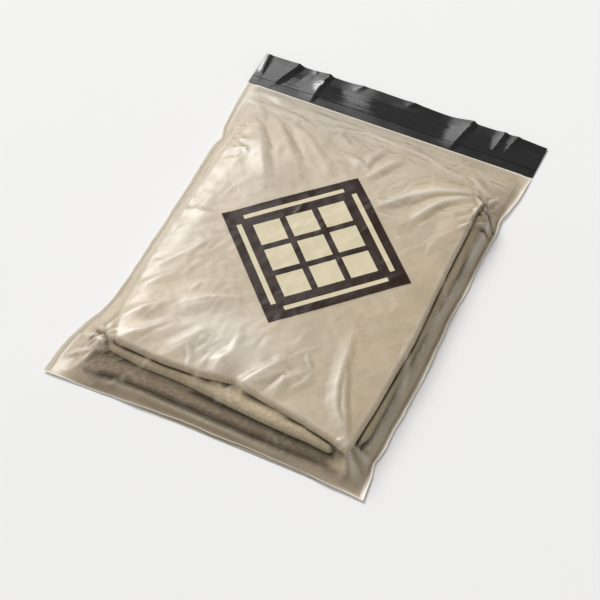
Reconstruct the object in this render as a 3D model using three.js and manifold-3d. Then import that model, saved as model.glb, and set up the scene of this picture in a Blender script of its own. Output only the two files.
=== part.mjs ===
// Poly mailer bag holding one folded garment, lying on its back panel.
// Millimetres, +Z up, +Y towards the flap, origin at the middle of the underside.
import * as THREE from 'three';
import { mergeVertices } from 'three/addons/utils/BufferGeometryUtils.js';
import Module from 'manifold-3d';

const wasm = await Module();
wasm.setup();

// Driving dimensions of the film pouch and its flap
const bagWidth = 254;
const pouchLength = 330;
const flapLength = 36;
const filmThickness = 0.12;
const sideWeld = 6;
const bottomFold = 1.5;
const flapOverlap = 9;
const weldRelief = 4;

// Driving dimensions of the closing strip
const flapThickness = 0.12;
const glueWidth = 11;
const glueThickness = 0.15;
const linerWidth = 17;
const linerThickness = 0.1;
const linerFromEdge = 9;
const linerEndInset = 1.5;
const flapCurl = 5;
const flapWaves = 2.5;

// Driving dimensions of the folded garment
const foldThickness = 6.8;
const foldBite = 0.5;
const foldCorner = 9;
const foldBow = 1.2;
const crown = 0.9;
const crownReach = 30;
const garmentRoomLeft = 28;
const garmentRoomRight = 14.5;
const garmentRoomFront = 13;
const garmentRoomMouth = 54;
const sideStep = 3.5;
const frontStep = 9.5;
const frontSkew = 10;

// Driving dimensions of the print, tip to tip
const printWidth = 158;
const printLength = 158;
const printShift = 9;
const printBorder = 7;
const printLine = 4;
const printFrame = 8;
const printBar = 5;
const printPanes = 3;
const inkThickness = 0.1;

// Clearances and drape
const layGap = 0.3;
const inkGap = 0.12;
const stripGap = 0.15;
const slitRoom = 0.3;
const mouthStep = 0.3;
const rimLift = 1.6;
const edgePullLeft = 9;
const edgePullRight = 3;
const pinchDepth = 3.5;
const pinchSpread = 22;
const pinchFromCorner = 48;
const bottomPull = 3.5;

// How finely the soft surfaces are divided, in millimetres a cell
const edgeCell = 4.6;
const openCell = 10.5;
const slopeCell = 8;

const totalLength = pouchLength + flapLength;
const leftEdge = -bagWidth / 2;
const rightEdge = bagWidth / 2;
const bottomEdge = -totalLength / 2;
const mouthEdge = bottomEdge + pouchLength;
const flapEdge = mouthEdge + flapLength;

// Garment: three folded layers, each stepped back from the one below it
const layerCount = 3;
const layerPitch = foldThickness - foldBite;
const garmentBase = filmThickness + layGap;

function layerCorners(level) {
  const left = leftEdge + garmentRoomLeft + level * sideStep;
  const right = rightEdge - garmentRoomRight - level * sideStep / 2;
  const front = bottomEdge + garmentRoomFront + level * frontStep;
  const back = mouthEdge - garmentRoomMouth - level * sideStep;
  const frontRight = front - level * frontSkew / 2;
  return [[left, front], [right, frontRight], [right, back], [left, back]];
}

function edgeOf(corners, index) {
  const [ax, ay] = corners[index];
  const [bx, by] = corners[(index + 1) % corners.length];
  const length = Math.hypot(bx - ax, by - ay);
  return { ax, ay, ux: (bx - ax) / length, uy: (by - ay) / length, length };
}

function depthInside(corners, x, y) {
  let depth = Infinity;
  for (let index = 0; index < corners.length; index += 1) {
    const edge = edgeOf(corners, index);
    depth = Math.min(depth, (y - edge.ay) * edge.ux - (x - edge.ax) * edge.uy);
  }
  return depth;
}

function crownAt(depth) {
  const share = THREE.MathUtils.clamp(depth / crownReach, 0, 1);
  return crown * share * (2 - share);
}

function garmentHeight(x, y) {
  let height = 0;
  const radius = foldThickness / 2;
  for (let level = 0; level < layerCount; level += 1) {
    const depth = depthInside(layerCorners(level), x, y) + foldBow;
    if (depth > 0) {
      const inset = radius - Math.min(depth, radius);
      const round = Math.sqrt(radius * radius - inset * inset);
      const middle = garmentBase + level * layerPitch + radius;
      const rise = level === layerCount - 1 ? crownAt(depth - radius) : 0;
      height = Math.max(height, middle + round + rise);
    }
  }
  return height;
}

// Outline of a layer: four straight sides that bow a little, with rounded corners
function layerOutline(corners, inset) {
  const points = [];
  const sideSteps = 4;
  const cornerSteps = 4;
  const radius = Math.max(foldCorner - inset, foldCorner / 4);
  const centre = corners.reduce((sum, [x, y]) => [sum[0] + x / 4, sum[1] + y / 4], [0, 0]);
  const moved = corners.map(([x, y]) => [
    x + (x < centre[0] ? inset : -inset),
    y + (y < centre[1] ? inset : -inset),
  ]);
  for (let index = 0; index < moved.length; index += 1) {
    const edge = edgeOf(moved, index);
    const next = edgeOf(moved, (index + 1) % moved.length);
    for (let step = 0; step < sideSteps; step += 1) {
      const share = step / sideSteps;
      const along = radius + share * (edge.length - 2 * radius);
      const bow = foldBow * Math.sin(Math.PI * share);
      points.push([
        edge.ax + edge.ux * along + edge.uy * bow,
        edge.ay + edge.uy * along - edge.ux * bow,
      ]);
    }
    const curve = new THREE.QuadraticBezierCurve(
      new THREE.Vector2(next.ax - edge.ux * radius, next.ay - edge.uy * radius),
      new THREE.Vector2(next.ax, next.ay),
      new THREE.Vector2(next.ax + next.ux * radius, next.ay + next.uy * radius),
    );
    for (let step = 0; step < cornerSteps; step += 1) {
      const point = curve.getPoint(step / cornerSteps);
      points.push([point.x, point.y]);
    }
  }
  return points;
}

function geometryFrom(positions, triangles) {
  const geometry = new THREE.BufferGeometry();
  geometry.setAttribute('position', new THREE.Float32BufferAttribute(positions, 3));
  geometry.setIndex(triangles);
  const merged = mergeVertices(geometry, 1e-5);
  merged.computeVertexNormals();
  return merged;
}

// Closed soft layer: loops from the middle of its underside over the round fold to its crown
function layerGeometry(level) {
  const corners = layerCorners(level);
  const radius = foldThickness / 2;
  const middle = garmentBase + level * layerPitch + radius;
  const roundSteps = 6;
  const loops = [];
  for (let step = 0; step <= roundSteps; step += 1) {
    const angle = Math.PI * (step / roundSteps - 0.5);
    loops.push({ inset: radius * (1 - Math.cos(angle)), z: middle + radius * Math.sin(angle) });
  }
  if (level === layerCount - 1) {
    for (const share of [0.4, 1]) {
      const inset = radius + share * crownReach;
      loops.push({ inset, z: middle + radius + crownAt(inset - radius) });
    }
  }
  const positions = [];
  const triangles = [];
  let count = 0;
  for (const loop of loops) {
    const outline = layerOutline(corners, loop.inset);
    count = outline.length;
    outline.forEach(([x, y]) => positions.push(x, y, loop.z));
  }
  for (let row = 0; row + 1 < loops.length; row += 1) {
    for (let column = 0; column < count; column += 1) {
      const a = row * count + column;
      const b = row * count + (column + 1) % count;
      triangles.push(a, b, b + count, a, b + count, a + count);
    }
  }
  const capOf = (loop) => layerOutline(corners, loop.inset).map(([x, y]) => new THREE.Vector2(x, y));
  const last = (loops.length - 1) * count;
  for (const [a, b, c] of THREE.ShapeUtils.triangulateShape(capOf(loops[0]), [])) {
    triangles.push(a, c, b);
  }
  for (const [a, b, c] of THREE.ShapeUtils.triangulateShape(capOf(loops[loops.length - 1]), [])) {
    triangles.push(last + a, last + b, last + c);
  }
  return geometryFrom(positions, triangles);
}

function solidOf(geometry) {
  const plain = geometry.clone();
  plain.deleteAttribute('normal');
  plain.deleteAttribute('uv');
  const merged = mergeVertices(plain, 1e-5);
  const vertProperties = new Float32Array(merged.attributes.position.array);
  const triVerts = new Uint32Array(merged.index.array);
  return new wasm.Manifold(new wasm.Mesh({ numProp: 3, vertProperties, triVerts }));
}

function geometryOf(solid) {
  const mesh = solid.getMesh();
  return geometryFrom(Array.from(mesh.vertProperties), Array.from(mesh.triVerts));
}

// Lines across a soft surface: each stop gives a place and how many cells lead up to it
function linesThrough(stops) {
  const lines = [stops[0].at];
  for (let index = 1; index < stops.length; index += 1) {
    const from = stops[index - 1].at;
    const span = stops[index].at - from;
    const cells = Math.max(1, Math.round(span / stops[index].cell));
    for (let step = 1; step <= cells; step += 1) lines.push(from + span * step / cells);
  }
  return lines;
}

const lowLayer = layerCorners(0);
const topLayer = layerCorners(layerCount - 1);
const garmentLeft = lowLayer[0][0];
const garmentRight = lowLayer[1][0];
const weldLeft = leftEdge + sideWeld;
const weldRight = rightEdge - sideWeld;
const slitLeft = weldLeft + weldRelief;
const slitRight = weldRight - weldRelief;
const stripFoot = mouthEdge - flapOverlap;

const columns = linesThrough([
  { at: leftEdge },
  { at: weldLeft, cell: sideWeld },
  { at: slitLeft, cell: weldRelief },
  { at: topLayer[0][0], cell: edgeCell },
  { at: topLayer[0][0] + crownReach / 2, cell: slopeCell },
  { at: topLayer[1][0] - crownReach / 2, cell: openCell },
  { at: topLayer[1][0], cell: slopeCell },
  { at: slitRight, cell: edgeCell },
  { at: weldRight, cell: weldRelief },
  { at: rightEdge, cell: sideWeld },
]);
const rows = linesThrough([
  { at: bottomEdge },
  { at: bottomEdge + bottomFold, cell: bottomFold },
  { at: topLayer[0][1] + foldThickness, cell: edgeCell },
  { at: topLayer[2][1] - crownReach / 2, cell: openCell },
  { at: topLayer[2][1] + foldThickness, cell: slopeCell },
  { at: stripFoot - stripGap, cell: slopeCell },
  { at: stripFoot, cell: flapOverlap },
  { at: mouthEdge, cell: flapOverlap },
]);
const lastColumn = columns.length - 1;
const lastRow = rows.length - 1;

// The welded edges are drawn in between the corners where the filling takes up film,
// and a little more beside the garment's corners
const pinches = [
  { side: -1, at: topLayer[0][1] + pinchFromCorner },
  { side: 1, at: topLayer[1][1] },
  { side: 1, at: topLayer[2][1] },
];

function pullAt(y, side) {
  const share = THREE.MathUtils.clamp((y - bottomEdge) / pouchLength, 0, 1);
  const ends = Math.pow(Math.sin(Math.PI * share), 0.7);
  let pull = side < 0 ? edgePullLeft : edgePullRight;
  for (const pinch of pinches) {
    const away = (y - pinch.at) / pinchSpread;
    if (pinch.side === side) pull += pinchDepth * Math.exp(-away * away);
  }
  return pull * ends;
}

function filmPlace(column, row) {
  const y = rows[row];
  let x = columns[column];
  if (x < garmentLeft) {
    x += pullAt(y, -1) * (garmentLeft - x) / (garmentLeft - leftEdge);
  }
  if (x > garmentRight) {
    x -= pullAt(y, 1) * (x - garmentRight) / (rightEdge - garmentRight);
  }
  const across = (columns[column] - leftEdge) / bagWidth;
  const front = THREE.MathUtils.clamp(1 - (y - bottomEdge) / (2 * garmentRoomFront), 0, 1);
  return [x, y + bottomPull * Math.sin(Math.PI * across) * front * front];
}

// Folds of the front film: ends as shares of the garment's half width and half length
const folds = [
  { from: [-1.1, 1.16], to: [-0.74, 0.52], rise: 2.6, width: 8 },
  { from: [-0.99, 1.2], to: [-0.46, 0.7], rise: 2.4, width: 7 },
  { from: [-0.69, 1.24], to: [-0.3, 0.8], rise: 2, width: 7 },
  { from: [0.44, 0.54], to: [0.88, 1.12], rise: 2.4, width: 7 },
  { from: [0.26, 0.7], to: [0.68, 1.04], rise: 1.8, width: 6 },
  { from: [-1.1, 0.14], to: [-0.7, 0.18], rise: 1.8, width: 6 },
  { from: [-1, 0.02], to: [-0.96, -0.6], rise: 2, width: 6 },
  { from: [-1, -0.56], to: [-0.6, -0.08], rise: 2.6, width: 7 },
  { from: [-0.92, -0.86], to: [-0.36, -0.4], rise: 2.4, width: 7 },
  { from: [-0.92, -1], to: [-0.56, -0.64], rise: 1.8, width: 6 },
  { from: [-1.12, -0.92], to: [-0.84, -0.44], rise: 2.2, width: 6 },
  { from: [-0.15, -1], to: [-0.1, -0.68], rise: 1.8, width: 7 },
  { from: [0.16, -1.02], to: [0.22, -0.64], rise: 2, width: 7 },
  { from: [0.46, -0.24], to: [0.96, -1.08], rise: 2.8, width: 7 },
  { from: [0.74, 1.2], to: [1.06, 0.84], rise: 2.4, width: 7 },
  { from: [-1.18, 1.34], to: [-0.72, 1.36], rise: 1.5, width: 7 },
  { from: [-0.6, 1.36], to: [0.34, 1.28], rise: 1.3, width: 7 },
];

function foldRise(x, y) {
  const centreX = (topLayer[0][0] + topLayer[1][0]) / 2;
  const centreY = (topLayer[0][1] + topLayer[2][1]) / 2;
  const halfX = (topLayer[1][0] - topLayer[0][0]) / 2;
  const halfY = (topLayer[2][1] - topLayer[0][1]) / 2;
  let rise = 0;
  for (const fold of folds) {
    const ax = centreX + fold.from[0] * halfX;
    const ay = centreY + fold.from[1] * halfY;
    const dx = (fold.to[0] - fold.from[0]) * halfX;
    const dy = (fold.to[1] - fold.from[1]) * halfY;
    const share = ((x - ax) * dx + (y - ay) * dy) / (dx * dx + dy * dy);
    if (share > 0 && share < 1) {
      const away = Math.abs((x - ax) * dy - (y - ay) * dx) / Math.hypot(dx, dy);
      const spread = Math.exp(-(away * away) / (fold.width * fold.width));
      rise = Math.max(rise, fold.rise * Math.sin(Math.PI * share) * spread);
    }
  }
  return rise;
}

function isWelded(column, row) {
  return column <= 1 || column >= lastColumn - 1 || row <= 1;
}

// Underside of the back film: flat on the ground, lifted a little along its welded rim
function backHeight(column, row) {
  const onRim = column === 0 || column === lastColumn || row === 0;
  if (!onRim) return 0;
  const [x, y] = filmPlace(column, row);
  const near = THREE.MathUtils.clamp((mouthEdge - y) / flapOverlap, 0, 1);
  return rimLift * near * (0.6 + 0.4 * Math.sin(x / 23) * Math.cos(y / 31));
}

const stripBase = filmThickness + stripGap;
const slitTop = stripBase + flapThickness + slitRoom;

// The inner face of the front film clears the garment over every cell that meets a point
function clearHeight(column, row) {
  let height = 0;
  for (let dc = -1; dc <= 1; dc += 0.25) {
    for (let dr = -1; dr <= 1; dr += 0.25) {
      const c = THREE.MathUtils.clamp(column + dc, 0, lastColumn);
      const r = THREE.MathUtils.clamp(row + dr, 0, lastRow);
      const c0 = Math.min(Math.floor(c), lastColumn - 1);
      const r0 = Math.min(Math.floor(r), lastRow - 1);
      const [ax, ay] = filmPlace(c0, r0);
      const [bx, by] = filmPlace(c0 + 1, r0 + 1);
      const x = ax + (bx - ax) * (c - c0);
      const y = ay + (by - ay) * (r - r0);
      height = Math.max(height, garmentHeight(x, y));
    }
  }
  return Math.max(height + layGap, slitTop);
}

// The front film hangs as a taut sheet over the garment, from rim to rim
function frontHeights() {
  const floors = columns.map((_, c) => rows.map((__, r) => clearHeight(c, r)));
  const heights = floors.map((line) => line.slice());
  const sweeps = 240;
  const held = (c, r) => isWelded(c, r) || r >= lastRow - 1;
  for (let c = 0; c <= lastColumn; c += 1) {
    for (let r = 0; r <= lastRow; r += 1) {
      if (isWelded(c, r)) heights[c][r] = backHeight(c, r) + filmThickness;
      else if (held(c, r)) heights[c][r] = slitTop;
    }
  }
  for (let sweep = 0; sweep < sweeps; sweep += 1) {
    for (let c = 1; c < lastColumn; c += 1) {
      for (let r = 1; r < lastRow; r += 1) {
        if (held(c, r)) continue;
        const west = columns[c] - columns[c - 1];
        const east = columns[c + 1] - columns[c];
        const south = rows[r] - rows[r - 1];
        const north = rows[r + 1] - rows[r];
        const acrossX = (heights[c - 1][r] * east + heights[c + 1][r] * west) / (west + east);
        const acrossY = (heights[c][r - 1] * north + heights[c][r + 1] * south) / (south + north);
        const weightX = south * north;
        const weightY = west * east;
        const level = (acrossX * weightX + acrossY * weightY) / (weightX + weightY);
        heights[c][r] = Math.max(floors[c][r], level);
      }
    }
  }
  return heights.map((line, c) => line.map((height, r) => {
    if (held(c, r)) return height;
    const [x, y] = filmPlace(c, r);
    return height + foldRise(x, y);
  }));
}

const frontInner = frontHeights();

// Solid of stacked sheets over a grid: emits the faces between filled and empty cells.
// A flat patch of the lowest sheet is closed by long faces from side to side instead.
function sheetSolid(columnCount, rowCount, levelCount, pointAt, isFilled, patch = null) {
  const positions = [];
  const triangles = [];
  const indexAt = (c, r, k) => (k * (rowCount + 1) + r) * (columnCount + 1) + c;
  for (let k = 0; k <= levelCount; k += 1) {
    for (let r = 0; r <= rowCount; r += 1) {
      for (let c = 0; c <= columnCount; c += 1) positions.push(...pointAt(c, r, k));
    }
  }
  const inRange = (c, r, k) => c >= 0 && r >= 0 && k >= 0
    && c < columnCount && r < rowCount && k < levelCount;
  const filled = (c, r, k) => inRange(c, r, k) && isFilled(c, r, k);
  const inPatch = (c, r) => patch && c >= patch.c0 && c < patch.c1 && r >= patch.r0 && r < patch.r1;
  const quad = (a, b, c, d) => triangles.push(a, b, c, a, c, d);
  for (let k = 0; k < levelCount; k += 1) {
    for (let r = 0; r < rowCount; r += 1) {
      for (let c = 0; c < columnCount; c += 1) {
        if (!filled(c, r, k)) continue;
        const [a, b, d, e] = [[c, r], [c + 1, r], [c + 1, r + 1], [c, r + 1]];
        const low = [a, b, d, e].map(([i, j]) => indexAt(i, j, k));
        const high = [a, b, d, e].map(([i, j]) => indexAt(i, j, k + 1));
        const patched = inPatch(c, r) && k === 0;
        if (!filled(c, r, k + 1) && !patched) quad(high[0], high[1], high[2], high[3]);
        if (!filled(c, r, k - 1) && !patched) {
          triangles.push(low[0], low[2], low[1], low[0], low[3], low[2]);
        }
        if (!filled(c, r - 1, k)) quad(low[0], low[1], high[1], high[0]);
        if (!filled(c + 1, r, k)) quad(low[1], low[2], high[2], high[1]);
        if (!filled(c, r + 1, k)) quad(low[2], low[3], high[3], high[2]);
        if (!filled(c - 1, r, k)) quad(low[3], low[0], high[0], high[3]);
      }
    }
  }
  if (patch) {
    const { c0, c1, r0, r1 } = patch;
    const faces = [];
    for (let c = c0; c < c1; c += 1) {
      faces.push([[c, r0], [c + 1, r0], [c0, r0 + 1]]);
      faces.push([[c + 1, r1], [c, r1], [c1, r1 - 1]]);
    }
    faces.push([[c1, r0], [c1, r0 + 1], [c0, r0 + 1]]);
    faces.push([[c0, r1], [c0, r1 - 1], [c1, r1 - 1]]);
    for (let r = r0 + 1; r < r1 - 1; r += 1) {
      faces.push([[c0, r], [c1, r], [c1, r + 1]]);
      faces.push([[c0, r], [c1, r + 1], [c0, r + 1]]);
    }
    for (const face of faces) {
      const low = face.map(([c, r]) => indexAt(c, r, 0));
      const high = face.map(([c, r]) => indexAt(c, r, 1));
      triangles.push(low[0], low[2], low[1], high[0], high[1], high[2]);
    }
  }
  return solidFaces(positions, triangles);
}

// Drops the faces that a weld closes to nothing
function solidFaces(positions, triangles) {
  const corner = (index) => new THREE.Vector3().fromArray(positions, index * 3);
  const kept = [];
  const smallest = 1e-6;
  for (let index = 0; index < triangles.length; index += 3) {
    const face = triangles.slice(index, index + 3);
    const [a, b, c] = face.map(corner);
    const apart = a.distanceTo(b) > smallest && b.distanceTo(c) > smallest && c.distanceTo(a) > smallest;
    if (apart) kept.push(...face);
  }
  return geometryFrom(positions, kept);
}

// Levels from below: back film underside, back film inside, front film inside, front film face
function pouchPoint(column, row, level) {
  const [x, y] = filmPlace(column, row);
  const back = backHeight(column, row);
  const heights = [
    back,
    back + filmThickness,
    frontInner[column][row],
    frontInner[column][row] + filmThickness,
  ];
  return [x, y, heights[level]];
}

function pouchFilled(column, row, level) {
  if (level !== 1) return true;
  return column === 0 || column === lastColumn - 1 || row === 0;
}

function pouchGeometry() {
  const patch = { c0: 1, c1: lastColumn - 1, r0: 1, r1: lastRow };
  return sheetSolid(lastColumn, lastRow, 3, pouchPoint, pouchFilled, patch);
}

// The closing strip: narrow foot inside the mouth, full width beyond it, gently wavy
const stripColumns = [
  leftEdge,
  ...linesThrough([{ at: slitLeft + mouthStep }, { at: slitRight - mouthStep, cell: openCell }]),
  rightEdge,
];
const stripRows = [stripFoot, mouthEdge, mouthEdge + mouthStep, mouthEdge + linerFromEdge,
  mouthEdge + linerFromEdge + linerWidth, flapEdge];

function stripHeight(x, y) {
  const out = THREE.MathUtils.clamp((y - mouthEdge - mouthStep) / flapLength, 0, 1);
  const turn = 2 * Math.PI * flapWaves * (x - leftEdge) / bagWidth;
  return stripBase + flapCurl * out * (0.45 + 0.3 * Math.sin(turn + 0.8) + 0.12 * Math.sin(2.3 * turn));
}

function stripPoint(thickness) {
  return (column, row, level) => {
    const x = stripColumns[column];
    const y = stripRows[row];
    return [x, y, stripHeight(x, y) + level * thickness];
  };
}

function flapGeometry() {
  const last = stripColumns.length - 2;
  const isFilled = (column, row) => row > 1 || (column > 0 && column < last);
  return sheetSolid(stripColumns.length - 1, stripRows.length - 1, 1, stripPoint(flapThickness), isFilled);
}

// A band on the strip lies above it by a base height and keeps clear of the strip's ends
function bandGeometry(width, base, thickness) {
  const middle = mouthEdge + linerFromEdge + linerWidth / 2;
  const ends = [leftEdge + linerEndInset, rightEdge - linerEndInset];
  const lines = [ends[0], ...stripColumns.slice(1, -1), ends[1]];
  const pointAt = (column, row, level) => {
    const x = lines[column];
    const y = middle + (row - 0.5) * width;
    return [x, y, stripHeight(x, y) + base + level * thickness];
  };
  return sheetSolid(lines.length - 1, 1, 1, pointAt, () => true);
}

// Ink lies on the front film: a skin over the film's own cells, cut to a lozenge outline
const printX = (topLayer[0][0] + topLayer[1][0]) / 2;
const printY = (bottomEdge + mouthEdge) / 2 + printShift;

function inkSkin(base) {
  const c0 = columns.findLastIndex((x) => x < printX - printWidth / 2);
  const c1 = columns.findIndex((x) => x > printX + printWidth / 2);
  const r0 = rows.findLastIndex((y) => y < printY - printLength / 2);
  const r1 = rows.findIndex((y) => y > printY + printLength / 2);
  const pointAt = (column, row, level) => {
    const [x, y] = filmPlace(c0 + column, r0 + row);
    const film = frontInner[c0 + column][r0 + row] + filmThickness;
    return [x, y, film + base + level * inkThickness];
  };
  return solidOf(sheetSolid(c1 - c0, r1 - r0, 1, pointAt, () => true));
}

// Places along the lozenge's own axes, which run parallel to its sides, each from -1 to 1
function lozengePoint(u, v) {
  return new THREE.Vector2(
    printX + (u - v) * printWidth / 4,
    printY + (u + v) * printLength / 4,
  );
}

function lozengePath(Kind, u0, u1, v0, v1) {
  const points = [[u0, v0], [u1, v0], [u1, v1], [u0, v1]].map(([u, v]) => lozengePoint(u, v));
  return new Kind(points);
}

const halfSide = Math.hypot(printWidth, printLength) / 4;
const shareOf = (size) => size / halfSide;

function prismOf(shape) {
  const tall = 4 * layerCount * foldThickness;
  return solidOf(new THREE.ExtrudeGeometry(shape, { depth: tall, bevelEnabled: false }));
}

function printBaseGeometry() {
  const edge = 1 - shareOf(printBorder / 2);
  const prism = prismOf(lozengePath(THREE.Shape, -edge, edge, -edge, edge));
  return geometryOf(inkSkin(inkGap).intersect(prism));
}

// Dark ink: a border, a light line inside it broken at the tips, then panes of a lattice
function printLatticeGeometry() {
  const shape = lozengePath(THREE.Shape, -1, 1, -1, 1);
  const lineOut = 1 - shareOf(printBorder);
  const lineIn = lineOut - shareOf(printLine);
  const lineEnd = lineIn - shareOf(printLine);
  for (const side of [-1, 1]) {
    const [near, far] = side > 0 ? [lineIn, lineOut] : [-lineOut, -lineIn];
    shape.holes.push(lozengePath(THREE.Path, near, far, -lineEnd, lineEnd));
    shape.holes.push(lozengePath(THREE.Path, -lineEnd, lineEnd, near, far));
  }
  const field = lineIn - shareOf(printFrame);
  const bar = shareOf(printBar);
  const pane = (2 * field - (printPanes - 1) * bar) / printPanes;
  for (let i = 0; i < printPanes; i += 1) {
    for (let j = 0; j < printPanes; j += 1) {
      const u = -field + i * (pane + bar);
      const v = -field + j * (pane + bar);
      shape.holes.push(lozengePath(THREE.Path, u, u + pane, v, v + pane));
    }
  }
  const base = inkGap + inkThickness + inkGap;
  return geometryOf(inkSkin(base).intersect(prismOf(shape)));
}

function garmentGeometry() {
  let solid = solidOf(layerGeometry(0));
  for (let level = 1; level < layerCount; level += 1) {
    solid = solid.add(solidOf(layerGeometry(level)));
  }
  return geometryOf(solid);
}

function part(name, geometry, look) {
  const mesh = new THREE.Mesh(geometry, new THREE.MeshStandardMaterial({ metalness: 0, ...look }));
  mesh.name = name;
  return mesh;
}

const bag = new THREE.Group();
bag.name = 'filled_poly_mailer';
const glueBase = flapThickness + stripGap;
const linerBase = glueBase + glueThickness + stripGap;
const glueBand = bandGeometry(glueWidth, glueBase, glueThickness);
const linerBand = bandGeometry(linerWidth, linerBase, linerThickness);
const filmLook = { color: 0xc9baa0, roughness: 0.25, transparent: true, opacity: 0.6 };
bag.add(
  part('film_pouch', pouchGeometry(), filmLook),
  part('folded_garment', garmentGeometry(), { color: 0xb3a283, roughness: 0.9 }),
  part('closure_flap', flapGeometry(), { color: 0x1e1e1f, roughness: 0.35 }),
  part('adhesive_strip', glueBand, { color: 0xd8d2b8, roughness: 0.5 }),
  part('release_liner', linerBand, { color: 0x2b2b2c, roughness: 0.12 }),
  part('print_base', printBaseGeometry(), { color: 0xd9cdac, roughness: 0.4 }),
  part('print_lattice', printLatticeGeometry(), { color: 0x3a2e27, roughness: 0.4 }),
);

export default bag;
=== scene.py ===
import math

import bpy
import numpy as np
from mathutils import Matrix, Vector
from mathutils.bvhtree import BVHTree
from mathutils.geometry import delaunay_2d_cdt


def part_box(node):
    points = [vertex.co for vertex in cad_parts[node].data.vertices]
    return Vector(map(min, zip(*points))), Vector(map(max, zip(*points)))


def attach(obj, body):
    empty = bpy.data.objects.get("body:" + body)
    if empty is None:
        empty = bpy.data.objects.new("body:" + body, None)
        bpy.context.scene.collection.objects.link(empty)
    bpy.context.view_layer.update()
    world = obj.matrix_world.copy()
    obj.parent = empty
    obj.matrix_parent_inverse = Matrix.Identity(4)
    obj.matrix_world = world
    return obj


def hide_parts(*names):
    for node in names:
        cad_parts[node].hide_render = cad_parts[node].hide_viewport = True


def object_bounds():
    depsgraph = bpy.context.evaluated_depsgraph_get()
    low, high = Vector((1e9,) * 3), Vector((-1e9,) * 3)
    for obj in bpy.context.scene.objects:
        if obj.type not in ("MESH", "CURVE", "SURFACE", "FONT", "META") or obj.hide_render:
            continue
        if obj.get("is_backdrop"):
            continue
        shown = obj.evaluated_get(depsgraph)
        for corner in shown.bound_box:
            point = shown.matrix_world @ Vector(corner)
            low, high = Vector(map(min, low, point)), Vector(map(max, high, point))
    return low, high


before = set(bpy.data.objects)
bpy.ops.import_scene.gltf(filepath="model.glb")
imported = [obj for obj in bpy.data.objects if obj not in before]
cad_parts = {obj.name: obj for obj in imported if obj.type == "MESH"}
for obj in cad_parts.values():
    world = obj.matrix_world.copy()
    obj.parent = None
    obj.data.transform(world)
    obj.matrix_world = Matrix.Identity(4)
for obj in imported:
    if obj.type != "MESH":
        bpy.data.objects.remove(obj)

bl_info = {
    "name": "Filled poly mailer",
    "version": (1, 0, 0),
    "blender": (4, 5, 0),
    "location": "View3D > Sidebar > Mailer",
    "description": "Dresses a semi-clear film mailing bag that holds a folded garment",
    "category": "Object",
}

MM = 0.001
CAD_BOX = [list(corner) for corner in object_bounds()]


def box_mm(node):
    """Lowest and highest corner of a CAD node, in millimetres."""
    return [np.array(corner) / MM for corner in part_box(node)]


POUCH_LOW, POUCH_HIGH = box_mm("film_pouch")
FLAP_LOW, FLAP_HIGH = box_mm("closure_flap")
GLUE_LOW, GLUE_HIGH = box_mm("adhesive_strip")
LINER_LOW, LINER_HIGH = box_mm("release_liner")
CLOTH_LOW, CLOTH_HIGH = box_mm("folded_garment")
PRINT_LOW, PRINT_HIGH = box_mm("print_lattice")
MOUTH_Y = POUCH_HIGH[1]


# Colours

def linear(hex_colour):
    """sRGB hex value as linear RGBA."""
    channels = [int(hex_colour[i:i + 2], 16) / 255 for i in (1, 3, 5)]
    return [c / 12.92 if c <= 0.04045 else ((c + 0.055) / 1.055) ** 2.4 for c in channels] + [1.0]


def colour_prop(name, description, hex_colour):
    return bpy.props.FloatVectorProperty(
        name=name, description=description, subtype="COLOR", size=4, min=0, max=1,
        default=linear(hex_colour))


def length_prop(name, description, default_mm):
    return bpy.props.FloatProperty(
        name=name, description=description, subtype="DISTANCE", unit="LENGTH",
        default=default_mm * MM, min=0, precision=5)


class MailerSizes(bpy.types.PropertyGroup):
    """Sizes that the dressing adds to the frame"""
    film_cell: length_prop("Film cell", "Spacing of the film's points", 1.4)
    film_wall: length_prop("Film wall", "Thickness of the film", 0.12)
    film_clearance: length_prop("Film clearance", "Least gap from cloth to film", 0.3)
    side_weld: length_prop("Side weld", "Width of the welded side margin", 6.0)
    weld_bead: length_prop("Weld bead", "Radius of the melted edge", 0.3)
    fold_height: length_prop("Fold height", "Height of one folded layer of cloth", 6.8)
    ink_rise: length_prop("Ink rise", "Height of the ink above the film", 0.12)
    ink_wall: length_prop("Ink wall", "Thickness of one ink layer", 0.05)
    crease_rise: bpy.props.FloatProperty(
        name="Crease rise", description="Share of the creases' full height",
        default=1.0, min=0, max=2)


class MailerColours(bpy.types.PropertyGroup):
    """Colours of the mailer's finishes"""
    film: colour_prop("Film", "Tinted polyethylene film", "#E0CFB1")
    # Painted highlight in part: this milky colour is film that stands off the cloth, and also a sheen
    # painted on ridges, at the upper left and below the print
    film_milky_and_sheen: colour_prop(
        "Milky film", "Film that stands off the cloth and scatters light", "#EEE4D3")
    # Painted highlight: a line of light along the cut and melted edges and the seal
    film_edge_highlight: colour_prop(
        "Film edge", "Cut and melted edges of the film, which gather light", "#FDF6E6")
    # Painted shade in part: this dark colour is film doubled in the pleats, and also shade painted in
    # the hollows, at the roll's foot and along the right margin
    film_pleat_and_shade: colour_prop(
        "Film in a pleat", "Film doubled on itself, where it is drawn in", "#735528")
    cloth: colour_prop("Cloth", "Upper layers of the garment", "#DFCEAD")
    cloth_inner: colour_prop("Inner cloth", "Lowest roll of the garment", "#9B8A75")
    # Painted shade: this colour darkens the cloth deep between folds and under the roll, where shade
    # falls; it is also the dark of the rubbed streaks
    cloth_crevice_shade_and_streak: colour_prop(
        "Cloth crevice", "Loose lint and dye deep between two folds", "#1A1007")
    flap: colour_prop("Flap", "Black co-extruded film", "#111112")
    liner: colour_prop("Liner", "Release liner", "#202021")
    glue: colour_prop("Glue", "Hot-melt adhesive", "#CFC6A6")
    ink_light: colour_prop("Light ink", "First pass of the print", "#DCD0B0")
    ink_dark: colour_prop("Dark ink", "Second pass of the print", "#2C190E")
    floor: colour_prop("Floor", "Studio sweep", "#F7F7F7")


def sizes():
    return bpy.context.scene.mailer_sizes


def colours():
    return bpy.context.scene.mailer_colours


# Noise and creases over the plan, all in millimetres

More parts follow.
